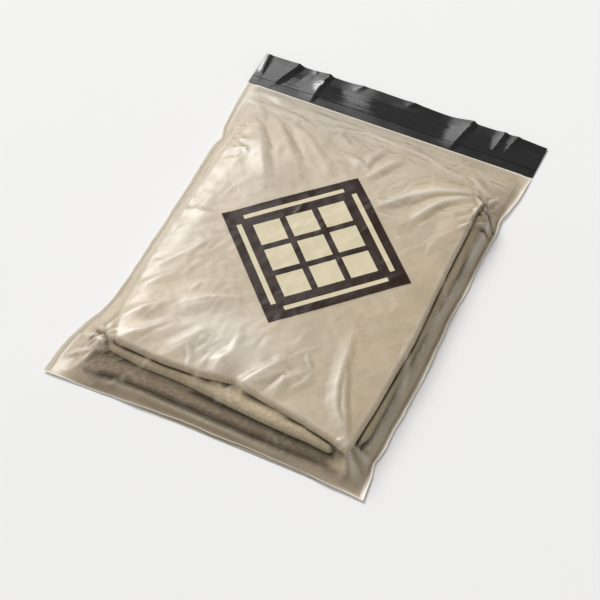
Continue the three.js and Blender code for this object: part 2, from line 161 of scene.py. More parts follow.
def soft_noise(x, y, cell, seed):
    """Smooth noise from -1 to 1 with features about one cell across."""
    lattice = np.random.default_rng(seed).uniform(-1, 1, (128, 128))
    u, v = x / cell + 1000.37, y / cell + 1000.71
    i, j = np.floor(u).astype(int), np.floor(v).astype(int)
    f, g = u - i, v - j
    f, g = f * f * (3 - 2 * f), g * g * (3 - 2 * g)
    corner = lambda a, b: lattice[(i + a) % 128, (j + b) % 128]
    low = corner(0, 0) * (1 - f) + corner(1, 0) * f
    high = corner(0, 1) * (1 - f) + corner(1, 1) * f
    return low * (1 - g) + high * g


def smooth_step(value, start, end):
    share = np.clip((value - start) / (end - start), 0, 1)
    return share * share * (3 - 2 * share)


def crease(x, y, points, rise, width, steep=1.0):
    """Ridge along a line of points, with one flank steeper than the other, fading at its ends."""
    points = np.array(points, float)
    spans = np.diff(points, axis=0)
    lengths = np.hypot(spans[:, 0], spans[:, 1])
    starts = np.concatenate([[0], np.cumsum(lengths)])
    best = np.full(np.shape(x), np.inf)
    along = np.zeros(np.shape(x))
    side = np.zeros(np.shape(x))
    for index, (span, length) in enumerate(zip(spans, lengths)):
        px, py = x - points[index, 0], y - points[index, 1]
        share = np.clip((px * span[0] + py * span[1]) / length ** 2, 0, 1)
        dx, dy = px - share * span[0], py - share * span[1]
        away = np.hypot(dx, dy)
        nearer = away < best
        best = np.where(nearer, away, best)
        along = np.where(nearer, (starts[index] + share * length) / starts[-1], along)
        side = np.where(nearer, np.sign(span[0] * py - span[1] * px), side)
    reach = np.where(side > 0, width, width * steep)
    # Straight flanks to a narrow crest, as in creased film, easing out at the foot
    profile = np.clip(1 - best / (2 * reach), 0, 1) ** 1.35
    return rise * profile * np.sin(np.pi * np.clip(along, 0.03, 0.97)) ** 0.6


# Creases of the front film: points on the plan, height, width, steepness of the second flank
MAIN_CREASES = (
    (((-100, 106), (-74, 68), (-55, 34)), 1.7, 3.6, 2.0),
    (((-86, 112), (-60, 83), (-36, 56)), 1.9, 3.4, 2.2),
    (((-72, 110), (-47, 95), (-20, 72)), 1.5, 3.0, 2.2),
    (((-112, 128), (-98, 114), (-88, 98)), 1.0, 3.0, 1.6),
    (((-104, 78), (-93, 70), (-84, 72)), 0.8, 1.6, 1.4),
    (((-100, 70), (-90, 60), (-80, 60)), 0.7, 1.6, 1.4),
    (((-14, 92), (4, 88), (16, 80)), 1.4, 2.6, 1.6),
    (((28, 110), (21, 91), (14, 74)), 2.0, 3.0, 1.8),
    (((12, 118), (7, 99), (9, 78)), 1.5, 2.6, 1.6),
    (((-44, 116), (-11, 129), (23, 126), (58, 124)), 1.3, 2.8, 1.8),
    (((-124, 138), (-104, 141), (-80, 136)), 0.7, 2.2, 1.6),
    (((-70, 135), (-40, 131), (-6, 133)), 1.0, 2.4, 1.6),
    (((96, 104), (68, 85), (44, 60), (34, 48)), 2.6, 3.4, 1.9),
    (((94, 96), (77, 74), (62, 46)), 2.2, 3.0, 1.9),
    (((-112, -17), (-89, -13), (-62, -13)), 1.2, 2.6, 2.0),
    (((-110, 12), (-92, 6), (-70, 8)), 0.6, 3.0, 1.8),
    (((-104, -5), (-108, -27), (-109, -60), (-110, -96), (-108, -128)), 0.9, 2.6, 1.5),
    (((-110, 40), (-107, 0), (-112, -40)), 0.6, 2.2, 1.5),
    (((-94, -78), (-77, -53), (-64, -32)), 1.5, 3.2, 2.3),
    (((-94, -132), (-80, -113), (-62, -97)), 1.3, 3.0, 2.2),
    (((-98, -100), (-84, -84), (-74, -74)), 1.0, 2.6, 2.0),
    (((-86, -146), (-68, -129), (-52, -112)), 1.5, 3.2, 2.0),
    (((-60, -100), (-40, -84), (-18, -74)), 1.8, 4.0, 2.2),
    (((-48, -140), (-38, -122), (-26, -108)), 1.3, 3.4, 1.9),
    (((-74, -60), (-60, -44), (-48, -20)), 0.8, 3.4, 1.8),
    (((-8, -150), (-8, -132), (0, -114)), 1.4, 4.0, 1.8),
    (((10, -149), (20, -134), (33, -112)), 2.6, 3.4, 2.2),
    (((34, -146), (40, -128), (54, -112)), 1.2, 3.6, 1.8),
    (((67, -69), (77, -116), (84, -134), (103, -156)), 1.4, 2.6, 1.8),
    (((70, -88), (86, -126), (104, -162)), 1.2, 2.0, 1.6),
    (((84, 124), (96, 112), (112, 104)), 1.2, 3.0, 1.6),
    (((94, 106), (105, 92), (117, 80)), 3.8, 1.7, 1.3),
    (((111, 110), (106, 92), (104, 72)), 3.4, 1.7, 1.3),
    (((100, 58), (108, 67), (118, 80)), 3.0, 1.6, 1.3),
    (((116, 84), (116, 60), (115, 30)), 2.4, 2.0, 1.4),
    (((40, 128), (66, 116), (92, 112)), 1.2, 3.0, 1.8),
    (((-96, 118), (-70, 120), (-48, 112)), 0.8, 2.6, 1.8),
    (((-30, 118), (-18, 106), (-4, 100)), 1.1, 2.6, 1.8),
    (((-108, 96), (-106, 60), (-104, 30)), 1.0, 2.2, 1.5),
    (((-112, 60), (-111, 20), (-113, -30)), 0.6, 1.8, 1.5),
    (((-112, -50), (-113, -84), (-116, -118)), 0.6, 1.8, 1.5),
    (((-104, -60), (-102, -90), (-100, -124)), 0.6, 2.2, 1.8),
    (((-96, 60), (-106, 44), (-117, 24)), 1.0, 1.8, 1.6),
    (((-98, 2), (-107, -8), (-115, -30)), 1.0, 2.0, 1.6),
    (((-96, -62), (-106, -74), (-113, -98)), 0.9, 2.0, 1.6),
    (((-113, 88), (-112, 40), (-114, 0)), 0.7, 1.5, 1.4),
    (((-109, -20), (-111, -70), (-109, -112)), 0.6, 1.5, 1.4),
    (((118, 82), (122, 92), (125, 104)), 1.6, 1.8, 1.4),
    (((115, 20), (116, -10), (114, -44)), 1.4, 2.2, 1.5),
    (((106, 10), (112, 0), (118, -18)), 1.6, 2.2, 1.5),
    (((108, -60), (114, -78), (119, -100)), 1.6, 2.2, 1.5),
    (((-86, -148), (-97, -150), (-110, -146), (-122, -138)), 2.1, 2.2, 1.5),
    (((-92, -142), (-98, -152), (-102, -164), (-110, -178)), 2.2, 2.0, 1.5),
    (((-88, -155), (-98, -156), (-112, -160), (-124, -168)), 2.2, 2.0, 1.5),
    (((-94, -136), (-102, -146), (-114, -152)), 1.4, 1.8, 1.5),
    (((104, -160), (112, -166), (122, -174)), 2.6, 2.2, 1.5),
    (((106, -156), (115, -156), (123, -151)), 2.2, 2.0, 1.5),
    (((104, -162), (108, -172), (106, -181)), 1.6, 2.0, 1.5),
    (((-86, -182), (-74, -175), (-66, -166)), 1.6, 2.0, 1.5),
)

# Pleats, where the film is drawn in and doubled on itself: points, depth, width, breadth
PLEATS = (
    (((96, 102.5), (103.3, 96.7), (110.6, 91)), 2.4, 1.2, 1.2),
    (((106, 105), (107.2, 84.8), (107.5, 59)), 2.6, 1.3, 1.2),
    (((106, 86.2), (114.6, 83.4), (123.8, 76.6)), 2.2, 1.1, 1.2),
    (((106.2, 63.3), (113.4, 70.1), (122.1, 73.1)), 1.8, 1.1, 1.2),
    (((-108.4, -150.1), (-104.3, -144.1), (-97.7, -140.9)), 2.0, 1.2, 1.3),
    (((-110, -138.5), (-103.7, -140.6), (-95.9, -143.9)), 2.0, 1.1, 1.3),
    (((-99.5, -140.8), (-95, -145.7), (-90.2, -152.5)), 1.8, 1.1, 1.3),
)

# Places where the film is pinched into a star of short creases: centre, reach, count, height
STARS = (
    ((-104.3, 91.6), 9, 6, 0.8),
    ((-87.3, 58.1), 8, 5, 0.8),
    ((110.8, 86.4), 13, 8, 1.5),
    ((-98.8, -143.5), 13, 8, 1.6),
    ((6.1, -155.3), 11, 7, 1.3),
    ((59.5, -172.9), 9, 6, 1.2),
    ((95.4, -163.1), 8, 6, 1.1),
    ((-58, -162.5), 9, 6, 1.1),
)

# Regions of small random crumples: centre, reach, count, main direction in degrees, height
CRUMPLES = (
    ((-72, -92), (34, 62), 28, 52, 0.32),
    ((-88, 20), (22, 66), 12, 60, 0.32),
    ((-52, 88), (56, 34), 14, -58, 0.4),
    ((10, -128), (70, 26), 34, 74, 0.5),
    ((62, 60), (48, 44), 26, 48, 0.3),
    ((0, 126), (112, 14), 60, -6, 0.45),
    ((10, -40), (86, 70), 50, 60, 0.25),
    ((-110, -20), (9, 140), 120, 84, 0.6),
    ((117, -20), (5, 140), 80, 82, 0.5),
    ((0, -176), (112, 5), 90, 86, 0.5),
)


def crumple_lines():
    """Short random creases of every region, always the same."""
    chance = np.random.default_rng(41)
    for (cx, cy), (rx, ry), count, turn, height in CRUMPLES:
        for _ in range(count):
            radius, angle = math.sqrt(chance.uniform()), chance.uniform(0, 2 * math.pi)
            mx, my = cx + rx * radius * math.cos(angle), cy + ry * radius * math.sin(angle)
            heading = math.radians(turn + chance.normal(0, 24))
            half = chance.uniform(4, 14)
            bend = chance.normal(0, 0.12) * half
            dx, dy = half * math.cos(heading), half * math.sin(heading)
            points = ((mx - dx, my - dy), (mx - dy * bend / half, my + dx * bend / half),
                      (mx + dx, my + dy))
            rise = height * chance.uniform(0.35, 1.3)
            yield points, rise, chance.uniform(1.1, 2.8), chance.uniform(1.2, 2.6)
    for (cx, cy), reach, count, height in STARS:
        start = chance.uniform(0, 2 * math.pi)
        for index in range(count):
            heading = start + (index + chance.uniform(-0.3, 0.3)) * 2 * math.pi / count
            far = reach * chance.uniform(0.6, 1.2)
            ends = [(cx + d * math.cos(heading + t), cy + d * math.sin(heading + t))
                    for d, t in ((1.0, 0), (far / 2, 0.1), (far, -0.1))]
            yield ends, height * chance.uniform(0.6, 1.2), chance.uniform(0.8, 1.4), 1.6


def facets(x, y, turn, size, stretch, seed):
    """Flat triangles with sharp edges between them, from 0 to 1, as in film that was crumpled."""
    cosine, sine = math.cos(math.radians(turn)), math.sin(math.radians(turn))
    u, v = (x * cosine + y * sine) / (size * stretch), (y * cosine - x * sine) / size
    chance = np.random.default_rng(seed)
    spots = [(i + chance.uniform(-0.42, 0.42), j + 0.5 * (i % 2) + chance.uniform(-0.42, 0.42))
             for i in range(math.floor(u.min()) - 1, math.ceil(u.max()) + 2)
             for j in range(math.floor(v.min()) - 2, math.ceil(v.max()) + 2)]
    heights = chance.uniform(0, 1, len(spots))
    points, _, triangles = delaunay_2d_cdt([Vector(spot) for spot in spots], [], [], 0, 1e-6)[:3]
    field = np.zeros_like(u)
    for a, b, c in triangles:
        (ax, ay), (bx, by), (cx, cy) = points[a], points[b], points[c]
        near = np.nonzero((u >= min(ax, bx, cx)) & (u <= max(ax, bx, cx))
                          & (v >= min(ay, by, cy)) & (v <= max(ay, by, cy)))
        pu, pv = u[near] - ax, v[near] - ay
        area = (bx - ax) * (cy - ay) - (cx - ax) * (by - ay)
        if abs(area) < 1e-9:
            continue
        share_b = (pu * (cy - ay) - pv * (cx - ax)) / area
        share_c = (pv * (bx - ax) - pu * (by - ay)) / area
        inside = (share_b > -1e-6) & (share_c > -1e-6) & (share_b + share_c < 1 + 1e-6)
        value = heights[a] + share_b * (heights[b] - heights[a])
        value += share_c * (heights[c] - heights[a])
        at = tuple(part[inside] for part in near)
        field[at] = value[inside]
    return field


def facet_heights(x, y):
    """Broad facets: strong at the left, where the film is loose, and faint over the print."""
    left = smooth_step(-x, 10, 62)
    upper, lower = left * smooth_step(y, -4, 34), left * smooth_step(-y, -10, 26)
    mouth = smooth_step(y, 100, 122)
    right = smooth_step(x, 34, 70) * smooth_step(y, 20, 56) * (1 - mouth)
    front = smooth_step(-y, 96, 124) * (1 - left)
    rest = 1 - np.clip(left + mouth + right + front, 0, 1)
    height = 1.2 * upper * (1 - mouth) * facets(x, y, -54, 10, 3.4, 61)
    height += 0.62 * lower * facets(x, y, 52, 9, 2.8, 62)
    height += 1.2 * mouth * facets(x, y, -10, 7, 4.0, 64)
    return height + (1.0 * right + 0.4 * front + 0.3 * rest) * facets(x, y, 48, 9, 3.0, 63)


def highest(x, y, creases):
    """Highest of many creases at each point; each is worked out only where it can reach."""
    found = np.zeros_like(x)
    for points, rise, width, steep in creases:
        low, high = np.min(points, axis=0) - 4 * width, np.max(points, axis=0) + 4 * width
        near = (x > low[0]) & (x < high[0]) & (y > low[1]) & (y < high[1])
        found[near] = np.maximum(found[near], crease(x[near], y[near], points, rise, width, steep))
    return found


def crease_heights(x, y):
    """All creases together: the highest main ridge, plus the crumples, less the pleats."""
    # The loose film at the lower left lies in lower, softer creases
    calm = 1 - 0.32 * smooth_step(-x, 10, 60) * smooth_step(-y, -60, 0)
    ridges = highest(x, y, MAIN_CREASES) * calm + highest(x, y, crumple_lines())
    return ridges - highest(x, y, PLEATS)


# Mesh helpers

def mesh_object(name, vertices_mm, faces):
    """New object with its place in its mesh, from points in millimetres."""
    mesh = bpy.data.meshes.new(name)
    mesh.from_pydata((np.asarray(vertices_mm) * MM).tolist(), [], faces)
    mesh.update()
    piece = bpy.data.objects.new(name, mesh)
    bpy.context.scene.collection.objects.link(piece)
    return piece


def quads(numbers, flip=False):
    """Faces over a grid of point numbers."""
    corners = [numbers[:-1, :-1], numbers[1:, :-1], numbers[1:, 1:], numbers[:-1, 1:]]
    if flip:
        corners[1], corners[3] = corners[3], corners[1]
    return np.stack([part.ravel() for part in corners], 1).tolist()


def skin(name, x, y, z):
    """New object that is one open skin over a grid of points."""
    points = np.stack([x, y, z], -1).reshape(-1, 3)
    return mesh_object(name, points, quads(np.arange(x.size).reshape(x.shape)))


def thicken(piece, thickness):
    """Gives an open skin its wall, on the outside."""
    select_only(piece)
    solid = piece.modifiers.new("wall", "SOLIDIFY")
    solid.thickness = thickness
    solid.offset = 1.0
    bpy.ops.object.modifier_apply(modifier=solid.name)


def select_only(piece):
    bpy.ops.object.select_all(action="DESELECT")
    piece.select_set(True)
    bpy.context.view_layer.objects.active = piece


def merge_points(piece, distance_mm):
    select_only(piece)
    bpy.ops.object.mode_set(mode="EDIT")
    bpy.ops.mesh.select_all(action="SELECT")
    bpy.ops.mesh.remove_doubles(threshold=distance_mm * MM)
    bpy.ops.mesh.delete_loose(use_verts=True, use_edges=True, use_faces=False)
    bpy.ops.object.mode_set(mode="OBJECT")


def shade(piece, degrees=None):
    select_only(piece)
    if degrees is None:
        bpy.ops.object.shade_smooth()
    else:
        bpy.ops.object.shade_smooth_by_angle(angle=math.radians(degrees))


def finish_piece(piece, slot, *nodes):
    """Hides the CAD nodes that the piece stands in for, and makes it ride with the bag."""
    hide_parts(*nodes)
    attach(piece, "root")


def add_point_values(piece, name, values):
    attribute = piece.data.attributes.new(name, "FLOAT", "POINT")
    attribute.data.foreach_set("value", np.asarray(values, float).ravel())


# Materials

BLACK = (0.0, 0.0, 0.0, 1.0)


def add_node(tree, kind, inputs=None, **fields):
    """Adds a node and sets its fields; each input takes a value, a socket or a node's output."""
    node = tree.nodes.new(kind)
    for key, value in fields.items():
        setattr(node, key, value)
    for key, value in (inputs or {}).items():
        socket = next(s for s in node.inputs if s.enabled and s.name == key)
        if isinstance(value, bpy.types.Node):
            value = next(s for s in value.outputs if s.enabled)
        if isinstance(value, bpy.types.NodeSocket):
            tree.links.new(value, socket)
        else:
            socket.default_value = value
    return node


def start_material(name):
    """Empty node material; returns it, its tree and the object's own coordinates."""
    material = bpy.data.materials.new(name)
    material.use_nodes = True
    tree = material.node_tree
    tree.nodes.clear()
    return material, tree, add_node(tree, "ShaderNodeTexCoord").outputs["Object"]


def finish_material(tree, surface):
    """Puts a principled surface with these inputs on the material's output."""
    shader = add_node(tree, "ShaderNodeBsdfPrincipled", surface)
    add_node(tree, "ShaderNodeOutputMaterial", {"Surface": shader})


def pattern(tree, place, size_mm, detail, rough, low, high, from_low=0.0, from_high=1.0):
    """Soft random pattern with features about this large, spread between two values."""
    noise = add_node(tree, "ShaderNodeTexNoise", {
        "Vector": place, "Scale": 1 / (size_mm * MM), "Detail": detail, "Roughness": rough})
    return add_node(tree, "ShaderNodeMapRange", {
        "Value": noise, "From Min": from_low, "From Max": from_high, "To Min": low, "To Max": high})


def toned(tree, place, tone, *layers):
    """Colour in layers: a (share, colour) lies over it, and a pattern's values darken it in places."""
    for layer in layers:
        if len(layer) == 2:
            mix = {"Factor": layer[0], "A": tone, "B": layer[1]}
        else:
            mix = {"Factor": pattern(tree, place, *layer), "A": BLACK, "B": tone}
        tone = add_node(tree, "ShaderNodeMix", mix, data_type="RGBA")
    return tone


def relief(tree, place, *layers):
    """Bumps, each over the last: (size in mm or a height, detail, roughness, strength, depth)."""
    below = {}
    for height, detail, rough, strength, depth_mm in layers:
        if isinstance(height, (int, float)):
            height = add_node(tree, "ShaderNodeTexNoise", {
                "Vector": place, "Scale": 1 / (height * MM), "Detail": detail, "Roughness": rough})
        bump = add_node(tree, "ShaderNodeBump", {
            "Height": height, "Strength": strength, "Distance": depth_mm * MM, **below})
        below = {"Normal": bump}
    return bump


# Handling marks of about 3 mm, far below the creases' height
HANDLING_MARKS = (3.2, 2.0, 0.5, 0.12, 0.3)


def film_material():
    """Blown and tinted polyethylene film: glossy, milkier where it stands off the cloth, with painted
    sheen, painted shade and painted edge highlights in its colour.
    """
    material, tree, place = start_material("Tinted polyethylene film")
    colour = colours()
    cover, edge, milky_and_sheen, pleat_and_shade = (
        add_node(tree, "ShaderNodeAttribute", attribute_name=name).outputs["Fac"]
        for name in ("cover", "edge", "milky_and_sheen", "pleat_and_shade"))
    unevenness = (26, 4.0, 0.6, 0.88, 1.0, 0.32, 0.6)
    finish_material(tree, {
        # Colour in layers: milky film with painted sheen, uneven tint, doubled film with painted
        # shade, and a painted highlight along the edges
        "Base Color": toned(tree, place, colour.film, (milky_and_sheen, colour.film_milky_and_sheen), unevenness,
                            (pleat_and_shade, colour.film_pleat_and_shade), (edge, colour.film_edge_highlight)),
        # Gloss of blown film: clear streaks between slightly duller ones, a few centimetres long
        "Roughness": pattern(tree, place, 22, 4.0, 0.6, 0.3, 0.44, 0.3, 0.7),
        "Alpha": cover,
        # Cover also thins the gloss, so the index is raised until bare film's gloss is back
        "IOR": 1.7,
        "Normal": relief(tree, place, HANDLING_MARKS)})
    return material


def cloth_material():
    """Cotton jersey: matt, finely ribbed, softly napped; the lowest roll shows its darker side, and
    painted shade darkens the crevices between folds.
    """
    material, tree, place = start_material("Cotton jersey")
    colour = colours()
    inner, crevice_shade = (
        add_node(tree, "ShaderNodeAttribute", attribute_name=name).outputs["Fac"]
        for name in ("inner_side", "crevice_shade"))
    # Painted shade in the crevices between folds and under the roll
    tone = toned(tree, place, colour.cloth, (inner, colour.cloth_inner),
                 (crevice_shade, colour.cloth_crevice_shade_and_streak))
    # Rubbed streaks run along the turned-out side, which is brushed
    brush = add_node(tree, "ShaderNodeMapping", {"Vector": place, "Scale": (0.7, 1.0, 1.0)})
    streak = pattern(tree, brush, 2.0, 4.0, 0.7, 0.66, 1.0, 0.38, 0.58)
    rubbed = toned(tree, place, colour.cloth_crevice_shade_and_streak, (streak, tone))
    rubbed_share = add_node(tree, "ShaderNodeMapRange", {"Value": inner, "To Max": 0.8})
    # Flecks of the yarn, then broad uneven dye
    flecks, dye = (1.8, 3.0, 0.7, 0.76, 1.0, 0.34, 0.6), (9, 4.0, 0.65, 0.84, 1.0, 0.3, 0.62)
    tone = toned(tree, place, tone, (rubbed_share, rubbed), flecks, dye)
    # Knit ribs run along the bag, drawn at 1.4 mm because real wales of 0.7 mm wouldn't show.
    # A wave texture has 20 radians to a unit, so this scale gives one band every 1.4 mm
    ribs = add_node(tree, "ShaderNodeTexWave", {
        "Vector": place, "Scale": 2 * math.pi / (20 * 1.4 * MM), "Distortion": 1.5},
        wave_type="BANDS", bands_direction="X").outputs["Fac"]
    rumple, nap = (6, 3.0, 0.55, 0.8, 1.2), (1.1, 3.0, 0.6, 0.7, 0.5)
    finish_material(tree, {
        "Base Color": tone, "Roughness": 0.92, "Specular IOR Level": 0.2,
        "Sheen Weight": 0.12, "Sheen Roughness": 0.5, "Sheen Tint": (0.75, 0.58, 0.4, 1.0),
        "Normal": relief(tree, place, rumple, nap, (ribs, None, None, 0.3, 0.3))})
    return material


def plastic_material(name, tone, rough_low, rough_high, rib_mm, bump_mm):
    """Extruded film: one colour, roughness and fine ribs along the machine direction."""
    material, tree, place = start_material(name)
    stretch = add_node(tree, "ShaderNodeMapping", {"Vector": place, "Scale": (0.06, 1.0, 1.0)})
    finish_material(tree, {
        "Base Color": toned(tree, stretch, tone, (rib_mm, 3.0, 0.6, 0.6, 1.0, 0.3, 0.7)),
        "Roughness": pattern(tree, place, 18, 3.0, 0.5, rough_low, rough_high, 0.3, 0.7),
        "Normal": relief(tree, stretch, (rib_mm, 3.0, 0.6, 0.35, bump_mm))})
    return material


def ink_material(name, tone):
    """Flexographic ink on film: dense, satin, with slight mottling of the print."""
    material, tree, place = start_material(name)
    finish_material(tree, {
        "Base Color": toned(tree, place, tone, (5, 4.0, 0.6, 0.9, 1.08)),
        "Roughness": pattern(tree, place, 14, 3.0, 0.5, 0.2, 0.3, 0.3, 0.7),
        "Specular IOR Level": 0.26,
        "Normal": relief(tree, place, HANDLING_MARKS)})
    return material


# Garment

# Plan of the three folds, lowest first; each starts with its front edge, from left to right
FOLD_PLANS = (
    ((-103, -159), (-104, -167), (-99, -173), (-90, -173.5), (-83, -168.5), (-59, -167),
     (12, -168.5), (78, -171.5), (104, -173.5), (113, -171), (116, -162), (115.5, -100),
     (115, 40), (113.5, 92.5), (-100, 92.5), (-105, 60), (-107, 0), (-106, -80),
     (-104, -130), (-100, -146)),
    ((-89.5, -150.5), (-64, -153.8), (-29, -154), (2, -156.8), (46, -159.8), (78, -161),
     (92.5, -162.4), (94.5, -155), (108, -150), (112.5, -138), (112.5, 89.5), (-98, 89.5),
     (-103, 58), (-105, 0), (-104, -80), (-100, -128), (-95, -144)),
    ((-87, -147), (-46, -148.6), (-14, -147), (3, -144), (11, -141.5), (17, -144.6), (34, -147.5),
     (66, -152.5), (92, -158), (105.5, -162.6), (108, -118), (109.5, -56), (108.6, -30),
     (106.6, 13), (105.5, 60), (104, 86), (-95, 86), (-100.5, 50),
     (-102, -10), (-101, -70), (-96, -122)),
)
TOP_FRONT = FOLD_PLANS[2][:10]
TOP_RIGHT = FOLD_PLANS[2][9:16]
# How far each fold's corners are softened, and how many points its outline has
FOLD_CORNERS = (2.6, 1.4, 2.6)
OUTLINE_POINTS = 520
# Overlap of one fold into the next, which keeps them one body
FOLD_OVERLAP = 0.5
# How lumpy each fold's edge is, and its share of the darker cloth side
FOLD_LUMPS = (1.0, 0.35, 0.25)
FOLD_SIDES = (1.0, 0.05, 0.0)
# Reach of the shadow under the next fold's lip: full up to here, gone beyond there
LIP_SHADOWS = ((1.8, 3.8), (0.7, 1.9))
TOP_RINGS, HIDDEN_RINGS = 36, 14


def fold_outline(level):
    """Closed outline of a fold, evenly spaced, with its corners softened."""
    even = resample(np.array(FOLD_PLANS[level], float), OUTLINE_POINTS)
    spacing = np.hypot(*(even[1] - even[0]))
    for _ in range(max(2, int((FOLD_CORNERS[level] / spacing) ** 2))):
        even = 0.5 * even + 0.25 * (np.roll(even, 1, 0) + np.roll(even, -1, 0))
    return even


def fold_profile(level, height):
    """Edge of a fold as (inset, height) from its underside: a round roll, or a pressed lip."""
    if level == 0:
        turns = np.linspace(-0.5, 0.5, 17) * math.pi
        return [(height / 2 * (1 - math.cos(a)), height / 2 * (1 + math.sin(a))) for a in turns]
    shoulder, lip = (6.0 if level == 1 else 3.8), 0.8
    edge = [(3.0, 0.0), (1.2, 0.1), (0.35, 0.35), (0.0, lip)]
    for step in range(1, 15):
        turn = step / 14 * math.pi / 2
        edge.append((shoulder * (1 - math.cos(turn)), lip + (height - lip) * math.sin(turn)))
    return edge


def resample(points, count):
    closed = np.vstack([points, points[:1]])
    steps = np.hypot(*np.diff(closed, axis=0).T)
    keep = np.concatenate([[True], steps > 1e-6])
    closed = closed[keep]
    total = np.concatenate([[0], np.cumsum(np.hypot(*np.diff(closed, axis=0).T))])
    at = np.linspace(0, total[-1], count, endpoint=False)
    return np.stack([np.interp(at, total, closed[:, 0]), np.interp(at, total, closed[:, 1])], 1)


def plan_distance(points, outline):
    """Distance from each point of the plan to a closed outline."""
    ends = np.roll(outline, -1, 0)
    best = np.full(len(points), np.inf)
    for start, end in zip(outline, ends):
        span = end - start
        share = np.clip(((points - start) @ span) / (span @ span), 0, 1)
        best = np.minimum(best, np.hypot(*(points - start - share[:, None] * span).T))
    return best


def fold_mesh(level):
    """Points, faces, cloth side and painted shade of the crevices, for one fold of the garment."""
    outline = fold_outline(level)
    count = len(outline)
    ahead = np.roll(outline, -2, 0) - np.roll(outline, 2, 0)
    normals = np.stack([ahead[:, 1], -ahead[:, 0]], 1) / np.hypot(*ahead.T)[:, None]
    height = sizes().fold_height / MM
    base = CLOTH_LOW[2] + level * (height - FOLD_OVERLAP)
    lumpy = FOLD_LUMPS[level]
    wave = lumpy * (0.8 * soft_noise(outline[:, 0], outline[:, 1], 24, 5 + level)
                    + 0.5 * soft_noise(outline[:, 0], outline[:, 1], 7, 15 + level))
    loops, heights, crevice_shades = [], [], []
    for inset, rise in fold_profile(level, height):
        loop = outline - normals * (inset - wave[:, None])
        share = rise / height
        lumps = soft_noise(loop[:, 0] + 3 * rise, loop[:, 1] + 2 * rise, 5, 31 + level)
        loops.append(loop)
        heights.append(base + rise + lumpy * 0.5 * lumps * math.sin(math.pi * share))
        # Painted shade: the lower half of the roll and the underside of each lip are darkened
        under = 1 - smooth_step(share, 0.26, 0.66) if level == 0 else float(share < 0.12)
        crevice_shades.append(np.full(count, under))
    centre = outline.mean(0)
    top = level == len(FOLD_PLANS) - 1
    rings = TOP_RINGS if top else HIDDEN_RINGS
    rim, rim_height = loops[-1], heights[-1]
    for ring in range(1, rings):
        share = 1 - (ring / rings) ** 1.5
        loop = centre + (rim - centre) * share
        reach = np.hypot(*((rim - centre) * (1 - share)).T)
        rise = 0.9 * np.clip(reach / 30, 0, 1) * (2 - np.clip(reach / 30, 0, 1))
        rise = rise + 0.9 * soft_noise(loop[:, 0], loop[:, 1], 38, 77) * np.clip(reach / 20, 0, 1)
        loops.append(loop)
        heights.append(rim_height + (rise if top else 0))
        crevice_shades.append(np.zeros(count))
    points = [np.column_stack([loop, z]) for loop, z in zip(loops, heights)]
    points = np.vstack(points + [[[centre[0], centre[1], heights[-1].mean()],
                                  [centre[0], centre[1], heights[0].mean()]]])
    depth = np.append(np.concatenate(crevice_shades), [0.0, 0.0])
    if not top:
        # The next fold's lip keeps the light off the cloth just in front of it
        away = plan_distance(points[:, :2], fold_outline(level + 1))
        near = 1 - smooth_step(away, *LIP_SHADOWS[level])
        depth = np.maximum(depth, near * (points[:, 2] > base + height * 0.3))
    faces = []
    for row in range(len(loops) - 1):
        for column in range(count):
            a, b = row * count + column, row * count + (column + 1) % count
            faces.append((a, b, b + count, a + count))
    last, apex = (len(loops) - 1) * count, len(loops) * count
    for column in range(count):
        after = (column + 1) % count
        faces.append((last + column, last + after, apex))
        faces.append((after, column, apex + 1))
    side = np.full(len(points), FOLD_SIDES[level])
    if level == 0:
        # Towards the right the front roll lies deeper under the folds above, so more shade is painted
        # on it there
        front = 1 - smooth_step(points[:, 1], -160, -138)
        corner = smooth_step(points[:, 0], 88, 104)
        deeper = (0.05 + 0.4 * front) * smooth_step(points[:, 0], -30, 70)
        depth = np.maximum(depth, deeper * (1 - corner))
        side = 0.1 + 0.9 * np.maximum(front, 1 - smooth_step(points[:, 0], -90, -40)) * (1 - corner)
    if top:
        # Left and back edges are turned under loosely and droop
        droop = np.exp(-((points[:, 0] - outline[:, 0].min()) / 11) ** 2)
        droop = droop + np.exp(-((outline[:, 1].max() - points[:, 1]) / 12) ** 2)
        points[:, 2] -= 3.0 * np.clip(droop, 0, 1) * np.clip((points[:, 2] - base) / height, 0, 1)
    return points, faces, side, depth


class MAILER_OT_garment(bpy.types.Operator):
    """Folded garment: three stacked folds of jersey with round fold edges"""
    bl_idname = "mailer.garment"
    bl_label = "Folded garment"

    def execute(self, context):
        points, faces, sides, crevice_shades, offset = [], [], [], [], 0
        for level in range(len(FOLD_PLANS)):
            fold_points, fold_faces, fold_side, fold_crevice_shade = fold_mesh(level)
            points.append(fold_points)
            sides.append(fold_side)
            crevice_shades.append(fold_crevice_shade)
            faces += [tuple(index + offset for index in face) for face in fold_faces]
            offset += len(fold_points)
        piece = mesh_object("garment_jersey_folds", np.vstack(points), faces)
        add_point_values(piece, "inner_side", np.concatenate(sides))
        add_point_values(piece, "crevice_shade", np.concatenate(crevice_shades))
        piece.data.materials.append(cloth_material())
        shade(piece)
        finish_piece(piece, "garment_cloth", "folded_garment")
        return {"FINISHED"}


# Pouch film

